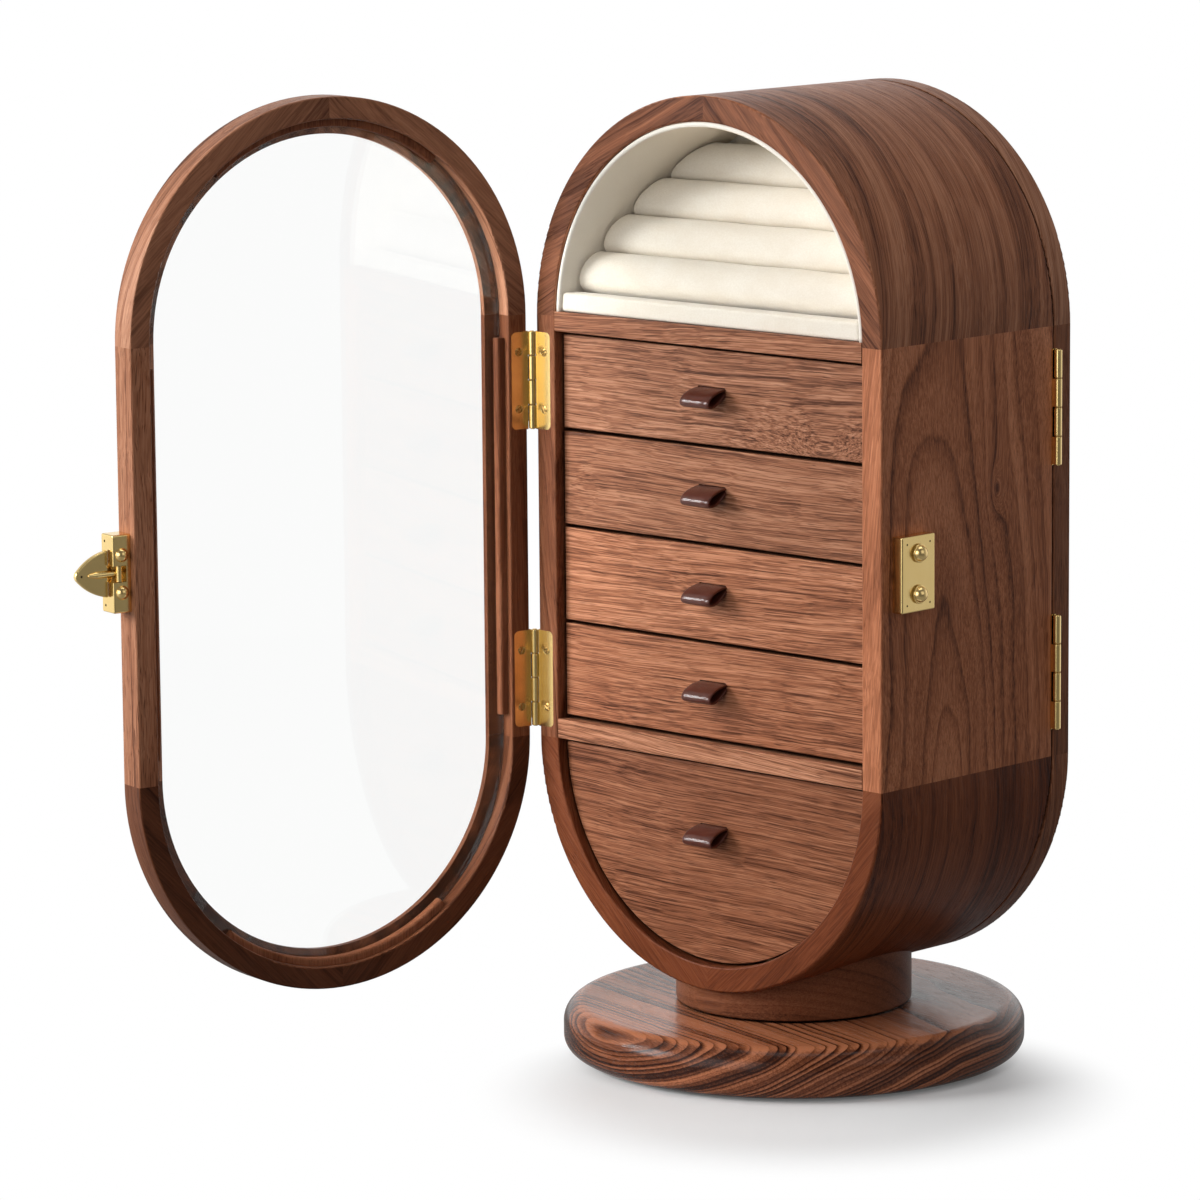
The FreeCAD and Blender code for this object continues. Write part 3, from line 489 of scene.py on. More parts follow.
def leather_strip(face_y, height):
    """A flat strip, wide along X, whose middle line is a teardrop: out of the slot, round and back in.

    The line is u = L (1 - cos t) / 2 outwards and w = H sin t sin(t / 2) + h cos(t / 2) across, with h half
    the leather, so that the two ends lie on each other in the slot. It is turned down by the droop and has
    a straight tail at each end. The strip's section is a superellipse of the fourth power.
    """
    half = PULL_LEATHER / 2
    t = np.linspace(PULL_START, 2 * np.pi - PULL_START, 61)
    u = PULL_LENGTH * (1 - np.cos(t)) / 2
    w = PULL_SWELL * np.sin(t) * np.sin(t / 2) + 1.05 * half * np.cos(t / 2)
    out = u * np.cos(PULL_DROOP) + w * np.sin(PULL_DROOP)
    rise = w * np.cos(PULL_DROOP) - u * np.sin(PULL_DROOP)
    out = np.concatenate([[-PULL_HIDE], out, [-PULL_HIDE]])
    rise = np.concatenate([[half], rise, [-half]])
    path = np.stack([0 * out, face_y - out, height + rise], axis=-1)
    ahead = np.gradient(path, axis=0)
    ahead /= np.linalg.norm(ahead, axis=1, keepdims=True)
    aside = np.array([1.0, 0.0, 0.0])
    outward = np.cross(aside, ahead)
    angle = np.linspace(0, 2 * np.pi, 24, endpoint=False)
    wide = np.sign(np.cos(angle)) * np.abs(np.cos(angle)) ** 0.5 * PULL_WIDTH / 2
    thick = np.sign(np.sin(angle)) * np.abs(np.sin(angle)) ** 0.5 * half
    return path[:, None] + wide[None, :, None] * aside + thick[None, :, None] * outward[:, None]


leather, tree, shader = surface("dark_leather")
start = add(tree, "TexCoord").outputs["Object"]
cells = add(tree, "TexVoronoi", {"Vector": start, "Scale": 1500.0}, feature="DISTANCE_TO_EDGE")
crease = ranged(tree, cells.outputs["Distance"], 0.0, 0.18)
mottle = noise(tree, start, (260.0, 260.0, 260.0), 3.0).outputs["Fac"]
hide = blended(tree, mottle, (0.060, 0.0145, 0.0085, 1), (0.112, 0.029, 0.017, 1))
feed(shader, "Base Color", hide)
relief = add(tree, "Bump", {"Height": crease, "Strength": 0.2, "Distance": 0.0001})
feed(shader, "Normal", relief.outputs[0])
feed(shader, "Roughness", ranged(tree, mottle, 0.3, 0.7, 0.3, 0.42))
shader.inputs["Specular IOR Level"].default_value = 0.08
shader.inputs["Coat Weight"].default_value = 0.6
shader.inputs["Coat Roughness"].default_value = 0.07
for number in range(1, 6):
    low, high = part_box("drawer_%d_front" % number)
    slot_z = high.z - TRAY_PULL_DROP if number == 5 else (low.z + high.z) / 2 + PULL_RISE
    strip = into_mesh("leather_pull_%d" % number, leather_strip(low.y, slot_z))
    pull = piece("leather_pull_%d" % number, strip, leather, "drawer_%d" % number)
    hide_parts("drawer_%d_pull" % number)

# The velvet ring compartment under the top arch: a lining bent round inside the arch, a back pad, a padded
# ledge along the front, and four foam rolls in cream velvet, pressed together on a sloping bed, that
# hold rings in the creases between them.
ROLL_RADIUS = 0.0104
ROLL_FIRST = (-0.031, 0.3046)
ROLL_STEP = (0.0099, 0.0142)
ROLL_END = 0.0028
ROLL_POWER = 9.0
ROLL_DENT = 0.00006
LINED_RADIUS = 0.0779
LEDGE_ROUND = 0.0016
BED_ROUND = 0.0008
SOFT_GAP = 0.0004

velvet, tree, shader = surface("cream_velvet")
start = add(tree, "TexCoord").outputs["Object"]
nap = noise(tree, start, (55.0, 90.0, 90.0), 3.0, 0.55).outputs["Fac"]
pile = noise(tree, start, (1100.0, 1500.0, 1500.0), 3.0, 0.65).outputs["Fac"]
tone = blended(tree, ranged(tree, nap, 0.3, 0.7), (0.825, 0.757, 0.650, 1), (0.860, 0.805, 0.708, 1))
tone = blended(tree, ranged(tree, pile, 0.3, 0.7, 0.0, 0.24), tone, (0.68, 0.59, 0.46, 1))
feed(shader, "Base Color", tone)
relief = add(tree, "Bump", {"Height": pile, "Strength": 0.4, "Distance": 0.0003})
feed(shader, "Normal", relief.outputs[0])
shader.inputs["Roughness"].default_value = 0.9
shader.inputs["Specular IOR Level"].default_value = 0.1
shader.inputs["Sheen Weight"].default_value = 0.3
shader.inputs["Sheen Roughness"].default_value = 0.45


def lined_reach(z):
    """How far the lined arch reaches aside at a height: x = sqrt(R^2 - h^2), h above the arch's centre."""
    return np.sqrt(LINED_RADIUS ** 2 - (z - ARCH_CENTRE) ** 2) - SOFT_GAP


def roll_surface(y, z):
    """A foam roll along X, pressed between its neighbours, whose ends follow the round of the lining.

    At angle a from the slope its radius is 1 / r^p = 1 / r0^p + |cos a / h|^p, which is a circle of radius
    r0 held between two planes at half the pitch h. Over the last e of its length the radius falls by
    e (1 - cos b) while x grows by e sin b, and the end closes flat. Slow waves dent it by under 0.2 mm.
    """
    pitch = math.hypot(*ROLL_STEP)
    slope = math.atan2(ROLL_STEP[1], ROLL_STEP[0])
    angle = np.linspace(0, 2 * np.pi, 72, endpoint=False)[None]
    held = np.abs(np.cos(angle) / (pitch / 2)) ** ROLL_POWER
    squeezed = (ROLL_RADIUS ** -ROLL_POWER + held) ** (-1 / ROLL_POWER)
    bend = np.linspace(np.pi / 2, 0, 9)[:, None]
    length = np.linspace(-1, 1, 60)[1:-1, None]
    close = np.array([0.02, 0.4, 0.75])[:, None]
    ends = close * (squeezed - ROLL_END)
    rounds = squeezed - ROLL_END * (1 - np.cos(bend))
    waves = (np.sin(3.1 * np.pi * length + 2 * angle + 90 * z) + np.sin(7.3 * length - 3 * angle)
             + np.sin(11.9 * length + 5 * angle + 40 * y))
    middle = squeezed + ROLL_DENT * waves * (1 - length ** 8)
    radius = np.concatenate([ends, rounds, middle, rounds[::-1], ends[::-1]])
    share = np.concatenate([0 * close - 1, 0 * bend - 1, length, 0 * bend + 1, 0 * close + 1])
    past = np.concatenate([0 * close + 1, np.sin(bend), 0 * length, np.sin(bend[::-1]), 0 * close + 1])
    height = z + radius * np.sin(angle + slope)
    x = share * (lined_reach(height) - ROLL_END) + np.sign(share) * past * ROLL_END
    return np.stack([x, y + radius * np.cos(angle + slope), height], axis=-1)


for index in range(4):
    y, z = ROLL_FIRST[0] + index * ROLL_STEP[0], ROLL_FIRST[1] + index * ROLL_STEP[1]
    name = "ring_roll_%d" % (index + 1)
    roll = piece(name, into_mesh(name, roll_surface(y, z)), velvet, "cabinet")
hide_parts("ring_rolls")


def bent_strip(centre, inner, outer, depth, start, end):
    """A strip with half-round edges, in depth and distance from a centre, carried round an arc about Y."""
    middle, half = (outer + inner) / 2, (outer - inner) / 2
    bend = np.linspace(-np.pi / 2, np.pi / 2, 11)
    front = np.stack([depth[0] + half - half * np.cos(bend), middle + half * np.sin(bend)], axis=-1)
    back = np.stack([depth[1] - half + half * np.cos(bend), middle - half * np.sin(bend)], axis=-1)
    section = np.concatenate([front, back])
    angle = np.linspace(start, end, 121)[:, None]
    radius, y = section[None, :, 1], section[None, :, 0]
    return np.stack([radius * np.cos(angle), y + 0 * angle, centre + radius * np.sin(angle)], axis=-1)


low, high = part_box("arch_liner")
foot = math.asin((low.z - ARCH_CENTRE) / LINED_RADIUS)
strip = bent_strip(ARCH_CENTRE, LINED_RADIUS, high.z - ARCH_CENTRE, (low.y, high.y), foot, np.pi - foot)
# The lining is a paler copy of the velvet with a warm sheen: painted light where it lies in the arch's shade.
lit_velvet = velvet.copy()
lit_velvet.name = "lit_velvet"
tree = lit_velvet.node_tree
shader = tree.nodes["Principled BSDF"]
tone = shader.inputs["Base Color"].links[0].from_socket
feed(shader, "Base Color", blended(tree, 0.6, tone, (0.97, 0.93, 0.86, 1)))
shader.inputs["Sheen Weight"].default_value = 1.0
shader.inputs["Sheen Tint"].default_value = (1.0, 0.84, 0.62, 1)
lining = piece("arch_lining", into_mesh("arch_lining", strip), lit_velvet, "cabinet")
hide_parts("arch_liner")


def bar_across(corners, rounding):
    """A bar along X between the sides of the lined arch, with a section of rounded corners.

    Each corner is a quadratic curve between the points where an arc of the rounding would start and end,
    (1 - s)^2 a + 2 s (1 - s) c + s^2 b, and the bar reaches to the lining at each height.
    """
    here = np.array(corners)
    into = np.roll(here, 1, axis=0) - here
    onto = np.roll(here, -1, axis=0) - here
    into /= np.linalg.norm(into, axis=1, keepdims=True)
    onto /= np.linalg.norm(onto, axis=1, keepdims=True)
    half = np.arccos(np.sum(into * onto, axis=1)) / 2
    share = np.linspace(0, 1, 9)[None, :, None]
    start = here + into * (rounding / np.tan(half))[:, None]
    end = here + onto * (rounding / np.tan(half))[:, None]
    bow = 2 * share * (1 - share) * here[:, None]
    curve = (1 - share) ** 2 * start[:, None] + bow + share ** 2 * end[:, None]
    section = curve.reshape(-1, 2)
    x = np.linspace(-1, 1, 80)[:, None] * lined_reach(section[:, 1])[None]
    return np.stack([x, section[None, :, 0] + 0 * x, section[None, :, 1] + 0 * x], axis=-1)


low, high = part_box("ring_ledge")
corners = [(low.y, low.z), (high.y, low.z), (high.y, high.z), (low.y, high.z)]
ledge_mesh = into_mesh("ring_ledge_pad", bar_across(corners, LEDGE_ROUND))
ledge = piece("ring_ledge_pad", ledge_mesh, velvet, "cabinet")
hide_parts("ring_ledge")

low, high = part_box("ring_bed")
corners = [(low.y, low.z), (high.y, low.z), (high.y, high.z)]
bed_mesh = into_mesh("ring_roll_bed", bar_across(corners, BED_ROUND))
bed = piece("ring_roll_bed", bed_mesh, velvet, "cabinet")
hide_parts("ring_bed")


def back_pad():
    """A half-round pad: its outline, an arc and a straight foot, scaled from its middle by s.

    Its front is crowned: it stands out by the pad's thickness times 1 - 0.8 s^6. Its back is flat.
    """
    low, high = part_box("ring_back_pad")
    foot = math.asin((low.z - ARCH_CENTRE) / LINED_RADIUS)
    angle = np.linspace(foot, np.pi - foot, 73)
    rim = LINED_RADIUS + SOFT_GAP
    arc = np.stack([rim * np.cos(angle), ARCH_CENTRE + rim * np.sin(angle)], axis=-1)
    straight = np.stack([np.linspace(arc[-1, 0], arc[0, 0], 30)[1:-1], np.full(28, arc[0, 1])], axis=-1)
    outline = np.concatenate([arc, straight])
    middle = np.array([0.0, (low.z + high.z) / 2])
    share = np.concatenate([np.linspace(0.005, 1, 24), np.linspace(1, 0.005, 8)])[:, None]
    flat = middle + share[..., None] * (outline - middle)[None]
    out = np.where(np.arange(32)[:, None] < 24, 1 - 0.8 * share ** 6, 0.0)
    y = high.y - (high.y - low.y) * out + 0 * outline[None, :, 0]
    return np.stack([flat[..., 0], y, flat[..., 1]], axis=-1)


cushion = piece("ring_back_cushion", into_mesh("ring_back_cushion", back_pad()), velvet, "cabinet")
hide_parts("ring_back_pad")

# The linings of the four straight drawers: a pan of card in the same velvet that drops into each box, with
# rounded corners. They are out of sight while the drawers are shut.
PAN_ASIDE = 0.0712
PAN_FRONT = -0.0358
PAN_BACK = -0.0012
PAN_FLOOR = 0.0031
PAN_HEIGHT = 0.019
PAN_CARD = 0.0013
PAN_EDGE = 0.0006


def lining_pan(floor_z):
    """An open pan: a rounded rectangle's outline, set in by steps, up the outside and down the inside.

    Each outline is a superellipse of the tenth power, and the first and last rows close on the middle.
    """
    angle = np.linspace(0, 2 * np.pi, 96, endpoint=False)
    across = np.sign(np.cos(angle)) * np.abs(np.cos(angle)) ** 0.2
    deep = np.sign(np.sin(angle)) * np.abs(np.sin(angle)) ** 0.2
    half = np.array([PAN_ASIDE, (PAN_BACK - PAN_FRONT) / 2])
    to_middle = half.min() - 0.0005
    outside = [[to_middle, 0], [PAN_EDGE, 0], [0, PAN_EDGE], [0, PAN_HEIGHT - PAN_EDGE]]
    rim = [[PAN_CARD / 2, PAN_HEIGHT], [PAN_CARD, PAN_HEIGHT - PAN_EDGE]]
    inside = [[PAN_CARD, 0.003], [PAN_CARD + 0.001, PAN_CARD], [to_middle, PAN_CARD]]
    steps = np.array(outside + rim + inside)
    x = (half[0] - steps[:, :1]) * across
    y = (PAN_FRONT + PAN_BACK) / 2 + (half[1] - steps[:, :1]) * deep
    return np.stack([x, y, floor_z + steps[:, 1:] + 0 * x], axis=-1)


for number in range(1, 5):
    name = "drawer_%d_lining" % number
    floor_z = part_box("drawer_%d_box" % number)[0].z + PAN_FLOOR
    pan = piece(name, into_mesh(name, lining_pan(floor_z)), velvet, "drawer_%d" % number)

# The front door: a walnut frame of the case's outline, two arches of two quarter rounds and two stiles,
# with thin beads that hold the glass in its rabbet. It hangs open on its two hinges.
DOOR_AXIS = Vector((-0.0922, -0.0503, 0))
DOOR_OPEN = 101.0
shut = (DOOR_OPEN, DOOR_AXIS - Matrix.Rotation(math.radians(DOOR_OPEN), 3, "Z") @ DOOR_AXIS)
# The door's top arch is painted paler, and its bottom arch and hinge stile darker: painted light and painted
# shade.
door_top = arch("walnut_door_top", ARCH_CENTRE, (40, -45), (7.0, 0.12, 0.05), walnut_tones(1.08, 0.93), SAWN,
                shut)
door_bottom = arch("walnut_door_bottom", BOWL_CENTRE, (-45, 45), (7.9, 0.15, 0.03), walnut_tones(0.45, 1.2),
                   SAWN, shut)
latch_stile = board("walnut_door_stiles", (0, 90, 0), (8.6, 0.3, 0.05), walnut_tones(0.9, 1.02),
                    **{**SAWN, "Pores": 0.75})
hinge_stile = board("walnut_hinge_stile", (0, 90, 0), (8.2, 0.25, 0.03), walnut_tones(0.44, 1.3), **SAWN)
bead_wood = board("walnut_beads", (0, 90, 0), (8.9, 0.2, 0.09), walnut_tones(0.6, 1.2), **SAWN)
dress(door_top, "door_top_arch")
dress(door_bottom, "door_bottom_arch")
dress(latch_stile, "door_latch_stile")
dress(hinge_stile, "door_hinge_stile")
dress(bead_wood, "glazing_beads")

# The pane: clear float glass, bedded in the rabbet behind the beads. Light goes nearly straight
# through it, so its shadow is almost clear.
glass, tree, shader = surface("clear_glass")
shader.inputs["Base Color"].default_value = (0.99, 0.995, 0.99, 1)
shader.inputs["Transmission Weight"].default_value = 1.0
shader.inputs["Roughness"].default_value = 0.0
shader.inputs["IOR"].default_value = 1.5
in_shadow = add(tree, "LightPath").outputs["Is Shadow Ray"]
clear = add(tree, "BsdfTransparent", {"Color": (0.96, 0.97, 0.965, 1)})
mixed = add(tree, "MixShader", {0: in_shadow, 1: shader.outputs[0], 2: clear.outputs[0]})
tree.links.new(mixed.outputs[0], tree.nodes["Material Output"].inputs["Surface"])
dress(glass, "door_glass")

# The rear door: the same outline again, with a plain walnut panel let in. It hangs on the right and closes
# the compartment for necklaces, which hang from pegs on a walnut rail.
rear_top = arch("walnut_rear_top", ARCH_CENTRE, (45, -45), (9.0, 0.2, 0.04), walnut_tones(0.85), BENT)
rear_bottom = arch("walnut_rear_bottom", BOWL_CENTRE, (-45, 45), (9.8, 0.18, 0.03), walnut_tones(0.8, 1.1),
                   BENT)
rear_stiles = board("walnut_rear_stiles", (0, 90, 0), (10.4, 0.2, 0.03), walnut_tones(0.75, 1.08), **SAWN)
rear_panel = board("walnut_rear_panel", (0, 96, 0), (11.2, 0.02, -0.01), walnut_tones(1.0), **SAWN)
rail_wood = board("walnut_rail", (0, 0, 0), (12.0, 0.1, 0.1), walnut_tones(0.9), **STRAIGHT)
dress(rear_top, "rear_top_arch")
dress(rear_bottom, "rear_bottom_arch")
dress(rear_stiles, "rear_hinge_stile", "rear_free_stile")
dress(rear_panel, "rear_panel")
dress(rail_wood, "necklace_rail")

# The brass hinges: four butt hinges of pressed leaves round a steel-hard pin, let into the boards and
# held by slotted screws, whose heads stand a little proud in their countersinks.
SCREW_ASIDE = 0.0861
SCREW_RADIUS = 0.0016
SCREW_SLOT = 0.00026
SLOT_FLOOR = -0.00012
ROOT_PLACE = (-0.0906, -0.0518)
ROOT_HALF = (0.0008, 0.00018)
ROOT_LENGTH = 0.0388
REAR_AXIS = Vector((0.0922, 0.0503, 0))
WASHER_INNER = 0.0009
WASHER_OUTER = 0.00142
WASHER_THICK = 0.00044
FRONT_KNUCKLE = 0.00975
REAR_KNUCKLE = 0.01125
FRONT_HINGES = [0.2045 + side * 0.0594 for side in (-1, 1)]
REAR_HINGES = [0.207 + side * 0.0517 for side in (-1, 1)]
FRONT_SCREWS = [middle + end * 0.0113 for middle in FRONT_HINGES for end in (-1, 1)]
REAR_SCREWS = [middle + end * 0.0143 for middle in REAR_HINGES for end in (-1, 1)]
TARNISH_AND_SHADE = (0.13, 0.062, 0.016, 1)

brass, tree, shader = surface("satin_brass")
start = add(tree, "TexCoord").outputs["Object"]
drawn = noise(tree, start, (1900.0, 1900.0, 70.0), 3.0, 0.6).outputs["Fac"]
patch = noise(tree, start, (120.0, 120.0, 120.0), 3.0).outputs["Fac"]
# Tarnish and painted shade: where the AO node finds the brass hemmed in, its colour goes to old dark brown.
open_share = add(tree, "AmbientOcclusion", {"Distance": 0.0015}, samples=12).outputs["AO"]
fresh = blended(tree, patch, (0.87, 0.62, 0.245, 1), (0.93, 0.70, 0.31, 1))
tarnished_and_shaded = blended(tree, ranged(tree, open_share, 0.2, 0.6), TARNISH_AND_SHADE, fresh)
feed(shader, "Base Color", tarnished_and_shaded)
shader.inputs["Metallic"].default_value = 1.0
feed(shader, "Roughness", ranged(tree, drawn, 0.25, 0.75, 0.17, 0.23))
relief = add(tree, "Bump", {"Height": drawn, "Strength": 0.04, "Distance": 0.00003})
feed(shader, "Normal", relief.outputs[0])
dress(brass, "case_hinge_leaves", "hinge_pins", "door_hinge_leaves", "rear_hinge_leaves")

# A darker, duller copy of the brass: painted shade for the screw heads in their countersinks and the knuckle
# gaps.
shaded_brass, tree, shader = surface("shaded_brass")
start = add(tree, "TexCoord").outputs["Object"]
patch = noise(tree, start, (700.0, 700.0, 700.0), 3.0).outputs["Fac"]
shaded_tone = blended(tree, patch, (0.34, 0.20, 0.060, 1), (0.58, 0.38, 0.14, 1))
feed(shader, "Base Color", shaded_tone)
shader.inputs["Metallic"].default_value = 1.0
feed(shader, "Roughness", ranged(tree, patch, 0.3, 0.7, 0.3, 0.22))


def screw_head(centre, normal, slot_angle):
    """A slotted oval head, sunk in its countersink and carried round its axis.

    The head is a low cap that falls faster towards its rim and then goes down into the hole. The slot
    takes the cap down where the distance from a line across it is under half the slot.
    """
    share = np.array([0.02, 0.15, 0.3, 0.45, 0.6, 0.72, 0.82, 0.9, 0.96, 1.0, 1.0, 0.02])[:, None]
    rise = np.array([24, 23.5, 22, 20, 17, 13.5, 9.5, 5, 1, -5, -25, -25])[:, None] * 1e-5
    angle = np.linspace(0, 2 * np.pi, 48, endpoint=False)[None]
    radius = share * SCREW_RADIUS + 0 * angle
    across = np.abs(radius * np.sin(angle - slot_angle))
    slotted = (across < SCREW_SLOT) & (share < 0.93) & (rise > 0)
    height = np.where(slotted, SLOT_FLOOR, rise)
    normal = np.array(normal, dtype=float)
    up = np.array([0.0, 0.0, 1.0])
    aside = np.cross(up, normal)
    flat = (radius * np.cos(angle))[..., None] * aside + (radius * np.sin(angle))[..., None] * up
    return np.array(centre) + flat + height[..., None] * normal


def swung_open(points):
    """Points of the shut front door, turned about its hinges to where it stands open."""
    turn = np.array(Matrix.Rotation(math.radians(-DOOR_OPEN), 3, "Z"))
    axis = np.array(DOOR_AXIS)
    return (points - axis) @ turn.T + axis


case_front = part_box("case_left_side")[0].y
case_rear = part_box("case_left_side")[1].y
door_inner = 2 * DOOR_AXIS.y - case_front
front_heads = [screw_head((-SCREW_ASIDE, case_front, z), (0, -1, 0), 630 * z) for z in FRONT_SCREWS]
rear_heads = [screw_head((SCREW_ASIDE, case_rear, z), (0, 1, 0), 450 * z) for z in REAR_SCREWS]
door_heads = [swung_open(screw_head((-SCREW_ASIDE, door_inner, z), (0, 1, 0), 810 * z)) for z in FRONT_SCREWS]
case_mesh = into_mesh("case_screw_heads", *front_heads, *rear_heads)
case_screws = piece("case_screw_heads", case_mesh, shaded_brass, "cabinet")
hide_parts("case_hinge_screws")
door_mesh = into_mesh("door_screw_heads", *door_heads)
door_screws = piece("door_screw_heads", door_mesh, shaded_brass, "front_door")
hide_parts("door_hinge_screws")
dress(shaded_brass, "rear_hinge_screws")


def rolled_root(middle):
    """The rolled root of a door leaf behind the barrel: a rod of oval section along Z, with round ends."""
    angle = np.linspace(0, 2 * np.pi, 20, endpoint=False)[None]
    share = np.linspace(-1, 1, 13)[:, None]
    taper = np.sqrt(np.clip(1.0004 - share ** 24, 0, 1))
    x = ROOT_PLACE[0] + ROOT_HALF[0] * taper * np.cos(angle)
    y = ROOT_PLACE[1] + ROOT_HALF[1] * taper * np.sin(angle)
    return swung_open(np.stack([x, y, middle + ROOT_LENGTH / 2 * share + 0 * angle], axis=-1))


roots = into_mesh("door_leaf_roots", *[rolled_root(middle) for middle in FRONT_HINGES])
piece("door_leaf_roots", roots, brass, "front_door")


def washer(axis, middle):
    """A thin flat ring about a hinge's pin, which fills the gap between two knuckles."""
    low, high = middle - WASHER_THICK / 2, middle + WASHER_THICK / 2
    section = np.array([[WASHER_INNER, low], [WASHER_OUTER, low],
                        [WASHER_OUTER, high], [WASHER_INNER, high]])
    return turned(section, 32) + np.array(axis)


hinges = ((DOOR_AXIS, FRONT_HINGES, FRONT_KNUCKLE), (REAR_AXIS, REAR_HINGES, REAR_KNUCKLE))
rings = [washer(axis, middle + step * pitch)
         for axis, middles, pitch in hinges for middle in middles for step in (-1, 0, 1)]
washers = into_mesh("hinge_washers", *rings, closed=(True, True), capped=False)
# The washers take the darker brass, which paints shade in the gaps between the knuckles.
piece("hinge_washers", washers, shaded_brass, "cabinet")

# The swinging latch on the door's free edge, its catch on the case, and the necklace pegs: the same brass,
# cast and polished on its domes.
cast, tree, shader = surface("polished_brass")
start = add(tree, "TexCoord").outputs["Object"]
patch = noise(tree, start, (160.0, 160.0, 160.0), 3.0).outputs["Fac"]
fine = noise(tree, start, (2400.0, 2400.0, 2400.0), 2.0).outputs["Fac"]
# Tarnish and painted shade in the notch and round the studs, from the AO node, as on the hinges.
open_share = add(tree, "AmbientOcclusion", {"Distance": 0.002}, samples=12).outputs["AO"]
fresh = blended(tree, patch, (0.85, 0.60, 0.24, 1), (0.91, 0.68, 0.31, 1))
tarnished_and_shaded = blended(tree, ranged(tree, open_share, 0.25, 0.75), TARNISH_AND_SHADE, fresh)
feed(shader, "Base Color", tarnished_and_shaded)
shader.inputs["Metallic"].default_value = 1.0
feed(shader, "Roughness", ranged(tree, fine, 0.25, 0.75, 0.16, 0.26))
dress(cast, "latch_fasteners", "catch_studs", "necklace_hooks")
dress(brass, "latch_body", "latch_tongue", "catch_plate")

# The studio: a pale floor that runs out to white, with painted shadow round the cabinet's foot, a large soft
# light in front on the left, weak ones in front, on the right and overhead, and a plain room that is white
# behind and on the left and dim on the right.
KEY_FROM = Vector((-0.62, -0.74, 0.32))
FILL_FROM = Vector((0.10, -0.97, 0.22))
TOP_FROM = Vector((0.05, 0.10, 1.0))
RIGHT_FROM = Vector((0.93, -0.05, 0.36))
DIM_SIDE = Vector((0.94, -0.34, 0.0))
ROOM_LEVEL = 0.16
FLOOR_RADIUS = 0.85
FLOOR_NEAR = 0.07
FLOOR_FAR = 0.13
FLOOR_MIRRORED = 0.3
FLOOR_DULL = 0.25
ROOM_BRIGHT = 1.05
ROOM_DIM = 0.14
SHADE_MIDDLE = (0.05, -0.05, 0.0)


def soft_light(name, direction, distance, size, power):
    """A square soft light that looks at the cabinet's middle from a direction."""
    lamp = bpy.data.lights.new(name, "AREA")
    lamp.shape = "SQUARE"
    lamp.size = size
    lamp.energy = power
    holder = bpy.data.objects.new(name, lamp)
    bpy.context.scene.collection.objects.link(holder)
    holder.location = Vector((0, 0, 0.2)) + direction.normalized() * distance
    holder.rotation_euler = direction.to_track_quat("Z", "Y").to_euler()


def room_level(tree, direction):
    """How bright the room is in a direction, for surfaces that mirror it: it is dim on one side."""
    lean = add(tree, "VectorMath", {0: direction, 1: DIM_SIDE}, operation="DOT_PRODUCT").outputs["Value"]
    return ranged(tree, lean, -0.2, 0.9, ROOM_BRIGHT, ROOM_DIM, smooth=False)


soft_light("key_light", KEY_FROM, 1.8, 0.8, 30.5)
soft_light("fill_light", FILL_FROM, 1.8, 1.2, 10.0)
soft_light("right_light", RIGHT_FROM, 1.8, 1.2, 3.0)
soft_light("top_light", TOP_FROM, 1.5, 1.0, 5.5)

world = bpy.data.worlds.new("pale_room")
bpy.context.scene.world = world
world.use_nodes = True
tree = world.node_tree
seen = add(tree, "LightPath").outputs
towards = add(tree, "TexCoord").outputs["Generated"]
mirrored = calc(tree, "MULTIPLY", seen["Is Glossy Ray"], room_level(tree, towards))
high_up = add(tree, "SeparateXYZ", {0: towards}).outputs["Z"]
mirrored = calc(tree, "MULTIPLY", mirrored, ranged(tree, high_up, 0.25, 0.7, 1.0, 0.4))
shown = calc(tree, "MAXIMUM", seen["Is Camera Ray"], seen["Is Transmission Ray"])
mirrored = calc(tree, "MULTIPLY", mirrored, calc(tree, "SUBTRACT", 1.0, shown))
level = calc(tree, "MAXIMUM", calc(tree, "MAXIMUM", shown, mirrored), ROOM_LEVEL)
background = tree.nodes["Background"]
background.inputs["Color"].default_value = (1, 1, 1, 1)
tree.links.new(level, background.inputs["Strength"])

reach = np.concatenate([[0.001], np.linspace(0.02, 1, 24)]) * FLOOR_RADIUS
floor_mesh = into_mesh("floor", turned(np.stack([reach, 0 * reach], axis=-1), 96), capped=False)
floor = bpy.data.objects.new("floor", floor_mesh)
bpy.context.scene.collection.objects.link(floor)
paper, tree, shader = surface("white_floor")
tree.nodes.remove(shader)
seen = add(tree, "LightPath").outputs
place = add(tree, "TexCoord").outputs["Object"]
start = along(tree, "SUBTRACT", place, SHADE_MIDDLE)
from_middle = add(tree, "VectorMath", {0: start}, operation="LENGTH").outputs["Value"]
outwards = add(tree, "VectorMath", {0: place}, operation="NORMALIZE").outputs[0]
more = calc(tree, "SUBTRACT", room_level(tree, outwards), FLOOR_MIRRORED)
far_share = ranged(tree, from_middle, FLOOR_DULL, FLOOR_RADIUS - 0.1)
mirrored = calc(tree, "MULTIPLY_ADD", more, far_share, FLOOR_MIRRORED)
mirrored = calc(tree, "MULTIPLY", seen["Is Glossy Ray"], mirrored)
shown = calc(tree, "MAXIMUM", seen["Is Camera Ray"], seen["Is Transmission Ray"])
shown = calc(tree, "MAXIMUM", shown, calc(tree, "MULTIPLY", mirrored, calc(tree, "SUBTRACT", 1.0, shown)))
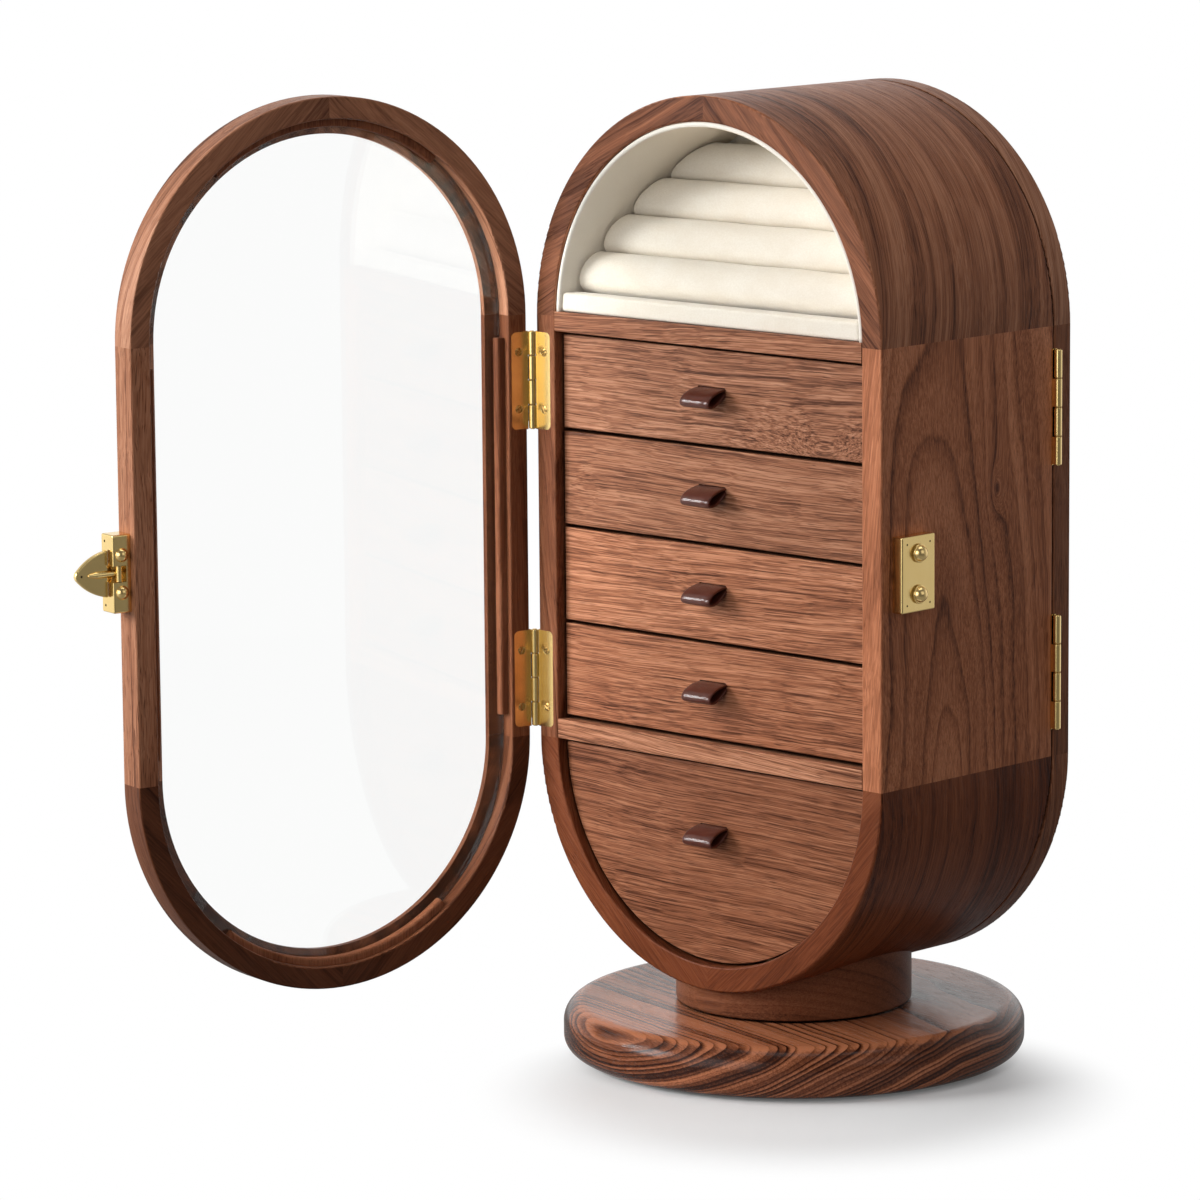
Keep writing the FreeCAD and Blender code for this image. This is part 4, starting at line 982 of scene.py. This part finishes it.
# Round a middle to the front and right of the cabinet the floor's glow falls away: painted shadow, over which
# the matt part still takes the lamps' real shadows.
share = ranged(tree, from_middle, FLOOR_NEAR, FLOOR_FAR, 0.8, 0.0)
matt = add(tree, "BsdfDiffuse", {"Color": blended(tree, share, (0, 0, 0, 1), (1, 1, 1, 1))})
glow_level = ranged(tree, from_middle, FLOOR_NEAR, FLOOR_FAR, 0.08, 1.0)
strength = calc(tree, "MULTIPLY", shown, glow_level)
glow = add(tree, "Emission", {"Color": (1, 1, 1, 1), "Strength": strength})
both = add(tree, "AddShader", {0: matt.outputs[0], 1: glow.outputs[0]})
tree.links.new(both.outputs[0], tree.nodes["Material Output"].inputs["Surface"])
floor_mesh.materials.append(paper)

# The camera, where the photograph was taken from: to the right of the open front, a little above, far
# off with a long lens, and rolled by half a degree.
CAMERA_AZIMUTH = math.radians(43.995)
CAMERA_ELEVATION = math.radians(9.387)
CAMERA_ROLL = math.radians(-0.475)
CAMERA_DISTANCE = 2.3
CAMERA_ASIDE = (-0.0751, -0.0258)
CAMERA_LENS = 176.82
back = Vector((math.sin(CAMERA_AZIMUTH) * math.cos(CAMERA_ELEVATION),
               -math.cos(CAMERA_AZIMUTH) * math.cos(CAMERA_ELEVATION), math.sin(CAMERA_ELEVATION)))
level_right = Vector((math.cos(CAMERA_AZIMUTH), math.sin(CAMERA_AZIMUTH), 0))
level_up = back.cross(level_right)
right = level_right * math.cos(CAMERA_ROLL) + level_up * math.sin(CAMERA_ROLL)
up = level_up * math.cos(CAMERA_ROLL) - level_right * math.sin(CAMERA_ROLL)
case_middle = Vector((0, 0, (ARCH_CENTRE + BOWL_CENTRE) / 2))
lens = bpy.data.cameras.new("camera")
lens.lens = CAMERA_LENS
lens.sensor_width = 36.0
lens.clip_end = 50.0
camera = bpy.data.objects.new("camera", lens)
bpy.context.scene.collection.objects.link(camera)
camera.matrix_world = Matrix((right, up, back)).transposed().to_4x4()
camera.location = case_middle + back * CAMERA_DISTANCE + right * CAMERA_ASIDE[0] + up * CAMERA_ASIDE[1]
bpy.context.scene.camera = camera
bpy.context.scene.view_settings.view_transform = "Standard"
